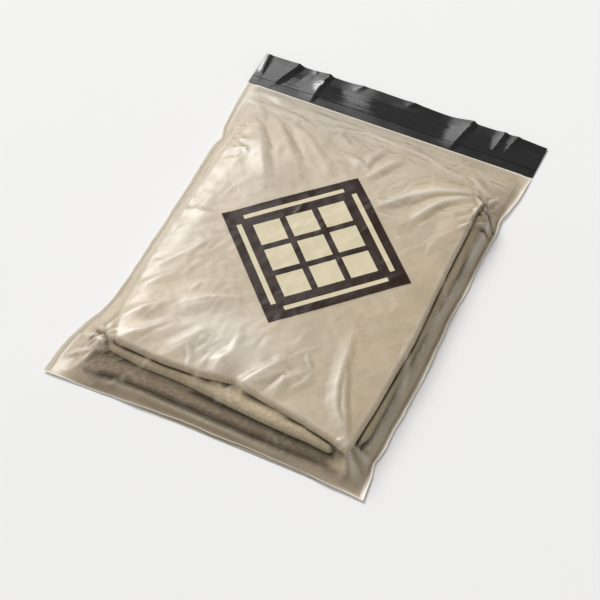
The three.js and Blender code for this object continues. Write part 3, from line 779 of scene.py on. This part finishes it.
# How far the welded edges are drawn in, as (y, distance) down each side
LEFT_PULL = ((148, 0), (129, 1.6), (110, 3.4), (92, 5.4), (85, 8.2), (80, 10.4), (74, 9.2),
             (67, 8.0),
             (57, 8.2), (26, 9.6), (-46, 12.4), (-97, 13.8), (-118, 11), (-132, 6), (-146, 2.5),
             (-161, 0.6), (-184, 0))
RIGHT_PULL = ((148, 0), (120, 1.4), (106, 3.6), (94, 6.2), (80, 4.0), (55, 5.4), (9, 4.0),
              (-11, 5.4),
              (-50, 3.0), (-78, 2.2), (-120, 3.4), (-139, 3.0), (-152, 5.2), (-164, 2.2), (-184, 0))
BOTTOM_PULL = ((-127, 0), (-100, 0.4), (-68, 1.6), (-8, 3.6), (46, 3.4), (80, 2.6),
               (110, 1.0), (127, 0))


def pulled(table, at, seed):
    """Smooth pull along an edge, with small handling waves that die at the corners."""
    rows = np.array(sorted(table), float)
    pull = np.interp(at, rows[:, 0], rows[:, 1])
    wave = 0.5 * soft_noise(at, at * 0, 13, seed) + 0.25 * soft_noise(at, at * 0, 5, seed + 1)
    ends = np.minimum(at - rows[0, 0], rows[-1, 0] - at)
    return pull + wave * smooth_step(ends, 2, 30)


def smoothed(values, passes):
    """Softens a line of values, with its ends held."""
    for _ in range(passes):
        values[1:-1] = 0.5 * values[1:-1] + 0.25 * (values[:-2] + values[2:])
    return values


# Passes that pull the film taut over the cloth, and that soften it after
DRAPE_PASSES, SOFTEN_PASSES = 700, 4
# Room between the two films at the mouth, where the flap's foot lies, and elsewhere
MOUTH_ROOM, POCKET_ROOM = 0.62, 0.04
# Turn of the film, against its surroundings, that counts as a full hollow or ridge
FULL_BEND = 0.12
# Share of what lies behind that the film hides, by how it lies
COVER = {"lying": 0.48, "lifted": 0.16, "low patch": 0.14, "tight": 0.03, "free": 0.5, "foot": 0.74,
         "right margin": 0.62, "corner": 0.66, "stretched": 0.5, "pleat_and_shade": 0.85, "edge": 0.96}
# How deep the film's colour is where it is doubled, and how much shade is painted in the hollows, at
# the roll's foot and along the right margin
DEEP_AND_SHADE = {"front": 0.3, "foot": 2.2, "right margin": 0.24, "hollow": 0.34}
# How milky the film is, by place; at the upper left, in the low patch and on the ridges it is painted
# sheen, and on creases partly stress whitening, partly painted highlight
MILK_AND_SHEEN = {"left": 0.3, "mouth": 0.8, "upper left": 0.45, "low patch": 0.9, "creased": 0.85,
        "ridge": 0.8}


class FilmGrid:
    """Plan and heights of the pouch's film on one grid, in millimetres."""

    def __init__(self, cloth):
        cell = sizes().film_cell / MM
        self.wall = sizes().film_wall / MM
        self.weld_width = sizes().side_weld / MM
        low, high = POUCH_LOW, POUCH_HIGH
        across, along = (np.linspace(low[i], high[i], round((high[i] - low[i]) / cell) + 1)
                         for i in (0, 1))
        left = smoothed(pulled(LEFT_PULL, along, 201), 3)
        right = smoothed(pulled(RIGHT_PULL, along, 205), 3)
        bottom = smoothed(pulled(BOTTOM_PULL, across, 209), 3)
        x, y = np.meshgrid(across, along, indexing="ij")
        share_left = np.clip((CLOTH_LOW[0] - x) / (CLOTH_LOW[0] - low[0]), 0, 1)
        share_right = np.clip((x - CLOTH_HIGH[0]) / (high[0] - CLOTH_HIGH[0]), 0, 1)
        share_bottom = np.clip((CLOTH_LOW[1] - y) / (CLOTH_LOW[1] - low[1]), 0, 1)
        self.x = x + left[None, :] * share_left - right[None, :] * share_right
        self.y = y + bottom[:, None] * share_bottom
        self.weld = max(2, round(self.weld_width / cell))
        self.count = (len(across) - 1, len(along) - 1)
        self.from_side = np.minimum(x - low[0], high[0] - x)
        self.from_bottom, self.from_mouth = y - low[1], high[1] - y
        # Points held by the welds, the bottom fold and the mouth
        self.held = ((self.from_side < self.weld_width * 0.75) | (self.from_bottom < 1.0)
                     | (self.from_mouth < 1.0))
        self.back = self.back_heights()
        self.front = self.front_heights(cloth)
        self.hollow, self.ridge = self.bends()

    def inside(self, side, bottom, mouth):
        """0 at the welds, the bottom and the mouth, 1 further in; each as (start, end)."""
        return (smooth_step(self.from_side, *side) * smooth_step(self.from_bottom, *bottom)
                * smooth_step(self.from_mouth, *mouth))

    def back_heights(self):
        """Underside: flat on the ground, its welded rim lifted and gently waved."""
        near = 1 - smooth_step(np.minimum(self.from_side, self.from_bottom * 2), 0, self.weld_width)
        wave = 0.55 + 0.45 * soft_noise(self.x, self.y, 21, 301)
        return 1.9 * near * wave * smooth_step(self.from_mouth, 2, 16)

    def front_heights(self, cloth):
        """Inner face of the front film: taut from rim to rim over the cloth, then creased."""
        weld = self.weld_width
        lowest = self.back + self.wall + self.slit_gap()
        floor = np.maximum(self.heights_over(cloth) + sizes().film_clearance / MM, lowest)
        floor = np.where(self.held, lowest, floor)
        guide = self.heights_over(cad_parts["film_pouch"], skin=True) - self.wall
        height = np.where(self.held, floor, np.maximum(floor, guide))
        height = self.settled(height, floor, 0.0, DRAPE_PASSES)
        height = self.settled(height, floor, 0.5, SOFTEN_PASSES)
        self.creased = crease_heights(self.x, self.y) * sizes().crease_rise
        rise = self.creased + facet_heights(self.x, self.y)
        rise += 0.07 * (1 - np.abs(soft_noise(self.x, self.y, 7, 401)))
        rise += 0.22 * (1 - np.abs(soft_noise(self.x + self.y, self.y - self.x, 17, 402)))
        free = self.inside((weld * 0.6, weld + 5), (1.5, 6), (1, 9))
        return np.maximum(floor, height + rise * free)

    def slit_gap(self):
        """Room between the two films at the mouth; none in the welds."""
        open_side = smooth_step(self.from_side, self.weld_width, self.weld_width + 4)
        room = MOUTH_ROOM * open_side * (1 - smooth_step(self.from_mouth, 9, 14))
        return room + POCKET_ROOM * smooth_step(self.from_side, 0, self.weld_width)

    def settled(self, height, floor, own_share, passes):
        """Draws each free point towards its neighbours, never below the floor."""
        for _ in range(passes):
            level = height.copy()
            around = height[:-2, 1:-1] + height[2:, 1:-1] + height[1:-1, :-2] + height[1:-1, 2:]
            level[1:-1, 1:-1] = own_share * height[1:-1, 1:-1] + 0.25 * (1 - own_share) * around
            height = np.where(self.held, height, np.maximum(floor, level))
        return height

    def heights_over(self, piece, skin=False):
        """Height of a piece under each point; solid cloth is widened by one cell, a skin isn't."""
        tree = BVHTree.FromObject(piece, bpy.context.evaluated_depsgraph_get())
        found = np.zeros(self.x.shape)
        for index in np.ndindex(found.shape):
            start = Vector((self.x[index] * MM, self.y[index] * MM, 0.1))
            hit = tree.ray_cast(start, Vector((0, 0, -1)))[0]
            found[index] = hit.z / MM if hit else 0.0
        if skin:
            return found
        return np.maximum.reduce([found] + [
            np.roll(found, shift, axis) for shift in (-1, 1) for axis in (0, 1)])

    def bends(self):
        """How sharply the front film turns at each point: hollows and ridges, each from 0 to 1."""
        turn = (self.blurred(self.front, 2) - self.front) / FULL_BEND
        inner = self.inside((self.weld_width, self.weld_width + 4), (3, 8), (2, 8))
        return inner * np.clip(turn, 0, 1), inner * np.clip(-turn, 0, 1)

    def cover(self):
        """Share of what lies behind that the film hides: least where it is tight on the cloth."""
        free = self.free()
        fold_front = np.interp(self.x, *np.array(TOP_FRONT).T)
        fold_right = np.interp(self.y, *np.array(TOP_RIGHT)[:, ::-1].T)
        front_slope = smooth_step(fold_front - self.y, -2.2, 0.4) * smooth_step(self.x, -112, -96)
        right_slope = smooth_step(self.x - fold_right, -2.6, 0.4) * smooth_step(-self.y, -106, -90)
        # Over the folds' edges it hangs off the cloth in loose, milky patches, most at the left
        patch = smooth_step(facets(self.x, self.y, 34, 8, 1.5, 71), 0.52, 0.66)
        patch = patch * (1 - smooth_step(fold_front - self.y, 2, 9)) * smooth_step(-self.x, -40, 60)
        tight = np.maximum(front_slope * (1 - 0.8 * patch), right_slope) * (1 - free)
        # Towards the back and the left the film is made less clear, partly as a painted sheen
        lifted = np.maximum(smooth_step(self.y, -20, 70), smooth_step(-self.x, -30, 60))
        cover = COVER["lying"] + COVER["lifted"] * lifted + COVER["low patch"] * self.low_sheen_patch()
        cover = cover + (COVER["tight"] - cover) * tight
        cover = cover + (COVER["free"] - cover) * free
        corner = smooth_step(self.x, 94, 112) * smooth_step(-self.y, 150, 168)
        # The roll's foot and the right margin are made less clear, so that the painted shade there
        # shows
        cover = np.maximum.reduce([
            cover, COVER["foot"] * self.foot(), COVER["corner"] * corner,
            COVER["right margin"] * smooth_step(self.x, 112, 118)])
        # Sharp creases are stretched, and stretched film turns whitish; this whitening is partly a
        # painted highlight on the crests
        stretched = np.clip((self.creased - 0.35) / 1.7, 0, 1) ** 1.3
        cover = cover + COVER["stretched"] * stretched * (1 - cover)
        return np.maximum.reduce([
            self.blurred(cover, 1), COVER["pleat_and_shade"] * self.pleat_and_shade() * (1 - tight),
            COVER["edge"] * self.edge()])

    def free(self):
        """1 where the film has no cloth under it, 0 over the cloth, soft between."""
        front, right = -FOLD_PLANS[0][6][1], FOLD_PLANS[0][10][0]
        return np.maximum.reduce([
            smooth_step(-self.y, front + 4.5, front + 8), smooth_step(self.x, right + 3, right + 6),
            smooth_step(-self.x, 104, 112), smooth_step(self.y, 78, 128)])

    def pleat_and_shade(self):
        """1 where the film is doubled on itself and looks deeper in colour, partly painted shade; also
        painted shade in the hollows, at the roll's foot and along the right margin.
        """
        share = highest(self.x, self.y, [(points, 1.0, *form) for points, _, *form in PLEATS])
        # Beside the cloth the front and back film lie together, which also deepens the colour; at the
        # roll's foot and along the right margin it is also painted shade
        beyond_front = smooth_step(self.x, -118, -96) * np.maximum(
            smooth_step(-self.y, 170, 175), DEEP_AND_SHADE["foot"] * self.foot())
        beyond_right = smooth_step(self.x, 110, 119) * (1 - smooth_step(self.y, 120, 146))
        return np.maximum.reduce([
            np.clip(share * 1.5, 0, 1), DEEP_AND_SHADE["front"] * beyond_front,
            DEEP_AND_SHADE["right margin"] * beyond_right, DEEP_AND_SHADE["hollow"] * self.hollow])

    def foot(self):
        """1 where the film comes down round the lowest roll, fading towards the seal; the roll's
        painted shadow lies here.
        """
        beyond = np.interp(self.x, *np.array(FOLD_PLANS[0][3:9]).T) - self.y
        near = smooth_step(beyond, 4.6, 8.4) * (1 - 0.4 * smooth_step(beyond, 9, 15))
        return near * smooth_step(self.x, -112, -84) * (1 - smooth_step(self.x, 92, 112))

    def edge(self):
        """Painted highlight: a line of light along the cut mouth, the melted sides and the seal, from
        0 to 1.
        """
        rim = np.minimum(self.from_side, np.minimum(self.from_mouth, self.from_bottom))
        seal = 0.35 * np.exp(-((self.from_side - self.weld_width) / 0.9) ** 2)
        width = 1.7 + 0.9 * smooth_step(self.x, 96, 116)
        return np.maximum(1 - smooth_step(rim / width, 0.06, 1), seal)

    def milky_and_sheen(self):
        """1 where the film stands off the cloth or was creased, and so scatters light; at the upper
        left, below the print and on the ridges it is painted sheen.
        """
        mouth = smooth_step(self.y, 74, 124) * smooth_step(-self.x, -115, 40)
        creased = np.clip((self.creased - 0.6) / 1.6, 0, 1)
        return np.maximum.reduce([
            MILK_AND_SHEEN["left"] * smooth_step(-self.x, 98, 114), MILK_AND_SHEEN["mouth"] * mouth,
            MILK_AND_SHEEN["upper left"] * smooth_step(self.y - 1.2 * self.x, -40, 100),
            MILK_AND_SHEEN["low patch"] * self.low_sheen_patch(), MILK_AND_SHEEN["creased"] * creased,
            MILK_AND_SHEEN["ridge"] * self.ridge])

    def low_sheen_patch(self):
        """Wide soft patch below the print, where a painted sheen makes the film lighter and less
        clear.
        """
        return np.exp(-((self.x + 12) / 50) ** 2 - ((self.y + 112) / 32) ** 2)

    @staticmethod
    def blurred(values, passes):
        for _ in range(passes):
            values = np.pad(values, 1, mode="edge")
            values = 0.25 * (values[:-2, 1:-1] + values[2:, 1:-1]
                             + values[1:-1, :-2] + values[1:-1, 2:])
        return values


def film_mesh(grid):
    """Closed pouch of film: front and back panel, fused in the side welds and the bottom fold."""
    (nx, ny), weld = grid.count, grid.weld
    bead = sizes().weld_bead / MM
    outer_back, inner_back, inner_front, outer_front = np.arange(
        4 * (nx + 1) * (ny + 1)).reshape(4, nx + 1, ny + 1)
    rim = np.zeros((nx + 1, ny + 1))
    # The melted bead is highest at the very edge
    rim[[0, -1]], rim[[1, -2]] = bead, bead * 0.55
    front = np.maximum(grid.front, grid.back + grid.wall)
    heights = (grid.back, grid.back + grid.wall, front, front + grid.wall + rim)
    points = np.concatenate([np.stack([grid.x, grid.y, z], -1).reshape(-1, 3) for z in heights])
    pocket = slice(weld, nx - weld + 1)
    faces = quads(outer_front) + quads(inner_front[pocket, 1:], flip=True)
    for part in (outer_back[:weld + 1], outer_back[nx - weld:], outer_back[pocket, :2]):
        faces += quads(part, flip=True)
    faces += back_patch(outer_back[pocket, 1:], flip=True) + back_patch(inner_back[pocket, 1:])

    def wall(low, high, line):
        faces.extend((low[a], low[b], high[b], high[a]) for a, b in zip(line, line[1:]))

    bottom_and_right = [(c, 0) for c in range(nx + 1)] + [(nx, r) for r in range(1, ny + 1)]
    left = [(0, r) for r in range(ny, -1, -1)]
    mouth = [(c, ny) for c in range(nx, -1, -1)]
    for line in (bottom_and_right, left, mouth[nx - weld:], mouth[:weld + 1]):
        wall(outer_back, outer_front, line)
    wall(outer_back, inner_back, mouth[weld:nx - weld + 1])
    wall(inner_front, outer_front, mouth[weld:nx - weld + 1])
    for line in ([(weld, r) for r in range(1, ny + 1)], [(nx - weld, r) for r in range(ny, 0, -1)],
                 [(c, 1) for c in range(nx - weld, weld - 1, -1)]):
        wall(inner_back, inner_front, line)
    shades = {"cover": grid.cover(), "edge": grid.edge(), "milky_and_sheen": grid.milky_and_sheen(),
              "pleat_and_shade": grid.pleat_and_shade()}
    return points, faces, {name: np.tile(part.ravel(), 4) for name, part in shades.items()}


def back_patch(numbers, flip=False):
    """Flat panel of long faces from side to side, with fans at its two ends."""
    across, along = numbers.shape[0] - 1, numbers.shape[1] - 1
    patch = []
    for c in range(across):
        patch.append((numbers[c, 0], numbers[c + 1, 0], numbers[0, 1]))
        patch.append((numbers[c + 1, along], numbers[c, along], numbers[across, along - 1]))
    patch.append((numbers[across, 0], numbers[across, 1], numbers[0, 1]))
    patch.append((numbers[0, along], numbers[0, along - 1], numbers[across, along - 1]))
    for r in range(1, along - 1):
        patch.append((numbers[0, r], numbers[across, r], numbers[across, r + 1], numbers[0, r + 1]))
    return [face[::-1] if flip else face for face in patch]


class MAILER_OT_pouch(bpy.types.Operator):
    """Pouch film draped over the garment, with welds, folds and crumples, and its print"""
    bl_idname = "mailer.pouch"
    bl_label = "Pouch film and print"

    def execute(self, context):
        cloth = bpy.data.objects["garment_jersey_folds"]
        grid = FilmGrid(cloth)
        points, faces, shades = film_mesh(grid)
        piece = mesh_object("pouch_film_creased", points, faces)
        for name, values in shades.items():
            add_point_values(piece, name, values)
        merge_points(piece, 0.001)
        piece.data.materials.append(film_material())
        shade(piece, 50)
        finish_piece(piece, "pouch_film", "film_pouch")
        add_print(grid)
        return {"FINISHED"}


# Print

# Widths of the lattice's lines in millimetres, and how many panes lie along one side
LINE_WIDTHS = {"border": 7.0, "line": 4.0, "frame": 8.0, "bar": 5.0}
PANES = 3


def print_axes(x, y):
    """Place along the lozenge's two side directions, each from -1 to 1 across the print."""
    middle = (PRINT_LOW + PRINT_HIGH) / 2
    half = (PRINT_HIGH - PRINT_LOW) / 2
    across, along = (x - middle[0]) / half[0], (y - middle[1]) / half[1]
    return across + along, along - across


def print_layout():
    """Cut lines and the test for dark ink, both on the lozenge's own axes."""
    half_side = math.hypot(*(PRINT_HIGH - PRINT_LOW)[:2]) / 4
    part = {name: size / half_side for name, size in LINE_WIDTHS.items()}
    line_out = 1 - part["border"]
    line_in = line_out - part["line"]
    line_end = line_in - part["line"]
    field = line_in - part["frame"]
    pane = (2 * field - (PANES - 1) * part["bar"]) / PANES
    starts = [-field + i * (pane + part["bar"]) for i in range(PANES)]
    panes = [(start, start + pane) for start in starts]
    base_edge = 1 - part["border"] / 2
    cuts = {1.0, base_edge, line_out, line_in, line_end}
    cuts |= {edge for pair in panes for edge in pair if edge > 0}

    def is_dark(u, v):
        if max(abs(u), abs(v)) > 1:
            return False
        for a, b in ((u, v), (v, u)):
            if line_in < abs(a) < line_out and abs(b) < line_end:
                return False
        in_pane = lambda a: any(low < a < high for low, high in panes)
        return not (in_pane(u) and in_pane(v))

    def is_light(u, v):
        return max(abs(u), abs(v)) < base_edge

    every = sorted({sign * cut for cut in cuts for sign in (-1, 1)})
    return every, is_dark, is_light


def ink_layer(name, grid, rise_mm, is_inked, cuts, material, slot, node):
    """Ink layer: skin of the front film, cut along the print's straight lines and thickened."""
    margin = 4
    keep_x = (grid.x[:, 0] > PRINT_LOW[0] - margin) & (grid.x[:, 0] < PRINT_HIGH[0] + margin)
    keep_y = (grid.y[0, :] > PRINT_LOW[1] - margin) & (grid.y[0, :] < PRINT_HIGH[1] + margin)
    window = np.ix_(keep_x, keep_y)
    height = grid.front[window] + grid.wall + rise_mm
    piece = skin(name, grid.x[window], grid.y[window], height)
    select_only(piece)
    bpy.ops.object.mode_set(mode="EDIT")
    middle = (PRINT_LOW + PRINT_HIGH) / 2 * MM
    half = (PRINT_HIGH - PRINT_LOW) / 2 * MM
    for turn in (1, -1):
        normal = Vector((turn / half[0], 1 / half[1], 0))
        for cut in cuts:
            point = Vector((middle[0], middle[1] + cut * half[1], 0))
            bpy.ops.mesh.select_all(action="SELECT")
            bpy.ops.mesh.bisect(plane_co=point, plane_no=normal)
    bpy.ops.object.mode_set(mode="OBJECT")
    for face in piece.data.polygons:
        u, v = print_axes(face.center.x / MM, face.center.y / MM)
        face.select = not is_inked(u, v)
    bpy.ops.object.mode_set(mode="EDIT")
    bpy.ops.mesh.select_mode(type="FACE")
    bpy.ops.mesh.delete(type="FACE")
    bpy.ops.object.mode_set(mode="OBJECT")
    thicken(piece, sizes().ink_wall)
    piece.data.materials.append(material)
    shade(piece, 40)
    finish_piece(piece, slot, node)
    return piece


def add_print(grid):
    cuts, is_dark, is_light = print_layout()
    rise = sizes().ink_rise / MM
    colour = colours()
    ink_layer("print_light_field", grid, rise * 0.5, is_light, cuts,
              ink_material("Light flexographic ink", colour.ink_light), "light_ink", "print_base")
    ink_layer("print_dark_lattice", grid, rise * 1.3, is_dark, cuts,
              ink_material("Dark flexographic ink", colour.ink_dark), "dark_ink", "print_lattice")


# Closing strip

# Creases across the closing strip: points, height, width, breadth of the other flank
STRIP_CREASES = (
    (((-126, 196), (-123, 172), (-120, 150)), 1.0, 2.4, 1.8),
    (((-92, 200), (-96, 178), (-106, 154)), 2.2, 2.2, 4.2),
    (((-64, 198), (-68, 172), (-70, 146)), 2.8, 1.4, 5.4),
    (((-80, 192), (-78, 178), (-84, 164)), 0.8, 1.4, 2.0),
    (((66, 198), (62, 176), (55, 146)), 3.3, 1.7, 5.6),
    (((92, 198), (91, 180), (88, 160)), 1.5, 1.6, 2.8),
    (((106, 196), (101, 178), (98, 162)), 1.1, 1.6, 2.2),
    (((20, 200), (14, 186), (4, 176)), 0.9, 2.4, 2.4),
    (((-30, 200), (-34, 186), (-42, 174)), 0.9, 2.4, 2.4),
)


def strip_height(x, y):
    """Height of the flap's underside: flat in the mouth, with loose folds at its free edge."""
    out = np.clip((y - MOUTH_Y - 0.3) / (FLAP_HIGH[1] - MOUTH_Y), 0, 1)
    turn = 2 * math.pi * 2.5 * (x - FLAP_LOW[0]) / (FLAP_HIGH[0] - FLAP_LOW[0])
    wave = 0.4 + 0.22 * np.sin(turn + 0.8) + 0.08 * np.sin(2.3 * turn)
    folds = np.zeros_like(x)
    for form in STRIP_CREASES:
        folds = np.maximum(folds, crease(x, y, *form))
    small = 0.12 * soft_noise(x, y, 11, 502)
    return FLAP_LOW[2] + 3.4 * out * wave + np.sqrt(out) * folds + small * out


def shared_lines(low, high, extra):
    """Evenly spaced lines, with the nearest one moved onto each extra place."""
    lines = np.linspace(low, high, round((high - low) / 1.25) + 1)
    for place in extra:
        lines[np.abs(lines - place).argmin()] = place
    return lines


def strip_mesh(name, y_low, y_high, rise, thickness, ends, notch=0.0):
    """Thin closed band that follows the flap; a notch narrows the part that lies in the mouth."""
    # All bands share these lines, so that none cuts into the next at a sharp crease
    x_lines = shared_lines(FLAP_LOW[0], FLAP_HIGH[0], (FLAP_LOW[0] + ends, FLAP_HIGH[0] - ends))
    bands = (FLAP_LOW[1], GLUE_LOW[1], GLUE_HIGH[1], LINER_LOW[1], LINER_HIGH[1], FLAP_HIGH[1])
    y_lines = shared_lines(FLAP_LOW[1], FLAP_HIGH[1], bands)
    x_low, x_high = FLAP_LOW[0] + ends, FLAP_HIGH[0] - ends
    x, y = np.meshgrid(x_lines[(x_lines > x_low - 0.01) & (x_lines < x_high + 0.01)],
                       y_lines[(y_lines > y_low - 0.01) & (y_lines < y_high + 0.01)], indexing="ij")
    if notch:
        inside = smooth_step(y, MOUTH_Y + 0.3, MOUTH_Y + 0.1)
        limit = (FLAP_HIGH[0] - notch) * inside + FLAP_HIGH[0] * (1 - inside)
        x = np.clip(x, -limit, limit)
    piece = skin(name, x, y, strip_height(x, y) + rise)
    merge_points(piece, 0.01)
    thicken(piece, thickness * MM)
    shade(piece, 45)
    return piece


def flat_size(low, high):
    """Width and length in metres that a band was cut to."""
    return ((high[0] - low[0]) * MM, (high[1] - low[1]) * MM)


class MAILER_OT_flap(bpy.types.Operator):
    """Closing flap of black film with its glue band and glossy release liner"""
    bl_idname = "mailer.flap"
    bl_label = "Closing flap"

    def execute(self, context):
        colour = colours()
        flap = strip_mesh("flap_black_film", FLAP_LOW[1], FLAP_HIGH[1], 0.0, 0.12, 0.0, notch=10.4)
        flap.data.materials.append(
            plastic_material("Black co-extruded film", colour.flap, 0.19, 0.27, 1.6, 0.1))
        finish_piece(flap, "flap_film", "closure_flap")
        flat_size(FLAP_LOW, FLAP_HIGH)
        glue = strip_mesh("glue_band", GLUE_LOW[1], GLUE_HIGH[1], 0.17, 0.1, 1.5)
        glue.data.materials.append(
            plastic_material("Hot-melt glue", colour.glue, 0.35, 0.5, 3.0, 0.05))
        finish_piece(glue, "glue", "adhesive_strip")
        liner = strip_mesh("liner_gloss_film", LINER_LOW[1], LINER_HIGH[1], 0.34, 0.08, 1.5)
        liner.data.materials.append(
            plastic_material("Siliconised release liner", colour.liner, 0.05, 0.1, 2.2, 0.2))
        finish_piece(liner, "liner_film", "release_liner")
        flat_size(LINER_LOW, LINER_HIGH)
        return {"FINISHED"}


# Stage

CAMERA_TARGET = Vector((14.37, -47.10, 5.0)) * MM
CAMERA_AZIMUTH = 25.54
CAMERA_ELEVATION = 51.99
CAMERA_DISTANCE = 1189.8 * MM
CAMERA_FOCAL_PIXELS = 1591.7
PICTURE_PIXELS = 600
SENSOR = 36.0
# A hair under the bag, so that the two don't share a plane
FLOOR_Z = -0.3 * MM


def direction(azimuth, elevation):
    """From the object towards a place at this azimuth and elevation; azimuth 0 is the front."""
    a, e = math.radians(azimuth), math.radians(elevation)
    return Vector((math.sin(a) * math.cos(e), -math.cos(a) * math.cos(e), math.sin(e)))


def soft_box(name, azimuth, elevation, distance, size, power):
    bpy.ops.object.light_add(type="AREA")
    lamp = bpy.context.object
    lamp.name = name
    lamp.data.shape = "SQUARE"
    lamp.data.size = size
    lamp.data.energy = power
    toward = direction(azimuth, elevation)
    lamp.location = toward * distance
    lamp.rotation_euler = toward.to_track_quat("Z", "Y").to_euler()


def floor_material():
    """Seamless paper sweep: matt, very pale, with a hardly visible tooth."""
    material, tree, place = start_material("Paper sweep")
    finish_material(tree, {
        "Base Color": toned(tree, place, colours().floor, (60, 3.0, 0.5, 0.985, 1.0)),
        "Roughness": 0.9, "Specular IOR Level": 0.2})
    return material


class MAILER_OT_stage(bpy.types.Operator):
    """Pale floor, soft studio light and the camera"""
    bl_idname = "mailer.stage"
    bl_label = "Stage and camera"

    def execute(self, context):
        scene = context.scene
        bpy.ops.mesh.primitive_plane_add(size=9)
        floor = context.object
        floor.name = "studio_floor"
        floor.data.transform(floor.matrix_world)
        floor.matrix_world.identity()
        for vertex in floor.data.vertices:
            vertex.co.z = FLOOR_Z
        floor.data.materials.append(floor_material())
        floor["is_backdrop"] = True
        world = bpy.data.worlds.new("Studio")
        scene.world = world
        world.use_nodes = True
        background = world.node_tree.nodes["Background"]
        background.inputs["Color"].default_value = (1.0, 0.99, 0.975, 1)
        background.inputs["Strength"].default_value = 0.4
        bpy.ops.object.light_add(type="SUN")
        key = context.object
        key.name = "key_light"
        key.data.energy = 2.06
        key.data.angle = math.radians(26)
        key.rotation_euler = direction(238, 40).to_track_quat("Z", "Y").to_euler()
        soft_box("back_softbox", 224, 44, 3.0, 1.3, 17)
        camera_data = bpy.data.cameras.new("photo_camera")
        camera = bpy.data.objects.new("photo_camera", camera_data)
        scene.collection.objects.link(camera)
        camera_data.sensor_width = SENSOR
        camera_data.lens = CAMERA_FOCAL_PIXELS / PICTURE_PIXELS * SENSOR
        camera_data.clip_start = 0.05
        toward = direction(CAMERA_AZIMUTH, CAMERA_ELEVATION)
        camera.location = CAMERA_TARGET + toward * CAMERA_DISTANCE
        camera.rotation_euler = toward.to_track_quat("Z", "Y").to_euler()
        scene.camera = camera
        scene.view_settings.view_transform = "Standard"
        return {"FINISHED"}


class MAILER_PT_panel(bpy.types.Panel):
    """Lists the mailer's operators, sizes and colours"""
    bl_idname = "MAILER_PT_panel"
    bl_label = "Poly mailer"
    bl_space_type = "VIEW_3D"
    bl_region_type = "UI"
    bl_category = "Mailer"

    def draw(self, context):
        layout = self.layout
        for operator in OPERATORS:
            layout.operator(operator.bl_idname)
        for group in (context.scene.mailer_sizes, context.scene.mailer_colours):
            for name in group.__annotations__:
                layout.prop(group, name)


OPERATORS = (MAILER_OT_stage, MAILER_OT_garment, MAILER_OT_pouch, MAILER_OT_flap)
CLASSES = (MailerSizes, MailerColours) + OPERATORS + (MAILER_PT_panel,)


def register():
    for item in CLASSES:
        bpy.utils.register_class(item)
    bpy.types.Scene.mailer_sizes = bpy.props.PointerProperty(type=MailerSizes)
    bpy.types.Scene.mailer_colours = bpy.props.PointerProperty(type=MailerColours)


def unregister():
    del bpy.types.Scene.mailer_colours
    del bpy.types.Scene.mailer_sizes
    for item in reversed(CLASSES):
        bpy.utils.unregister_class(item)


def main():
    register()
    bpy.ops.mailer.stage()
    bpy.ops.mailer.garment()
    bpy.ops.mailer.pouch()
    bpy.ops.mailer.flap()
    visual = [list(corner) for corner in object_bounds()]


if __name__ == "__main__":
    main()
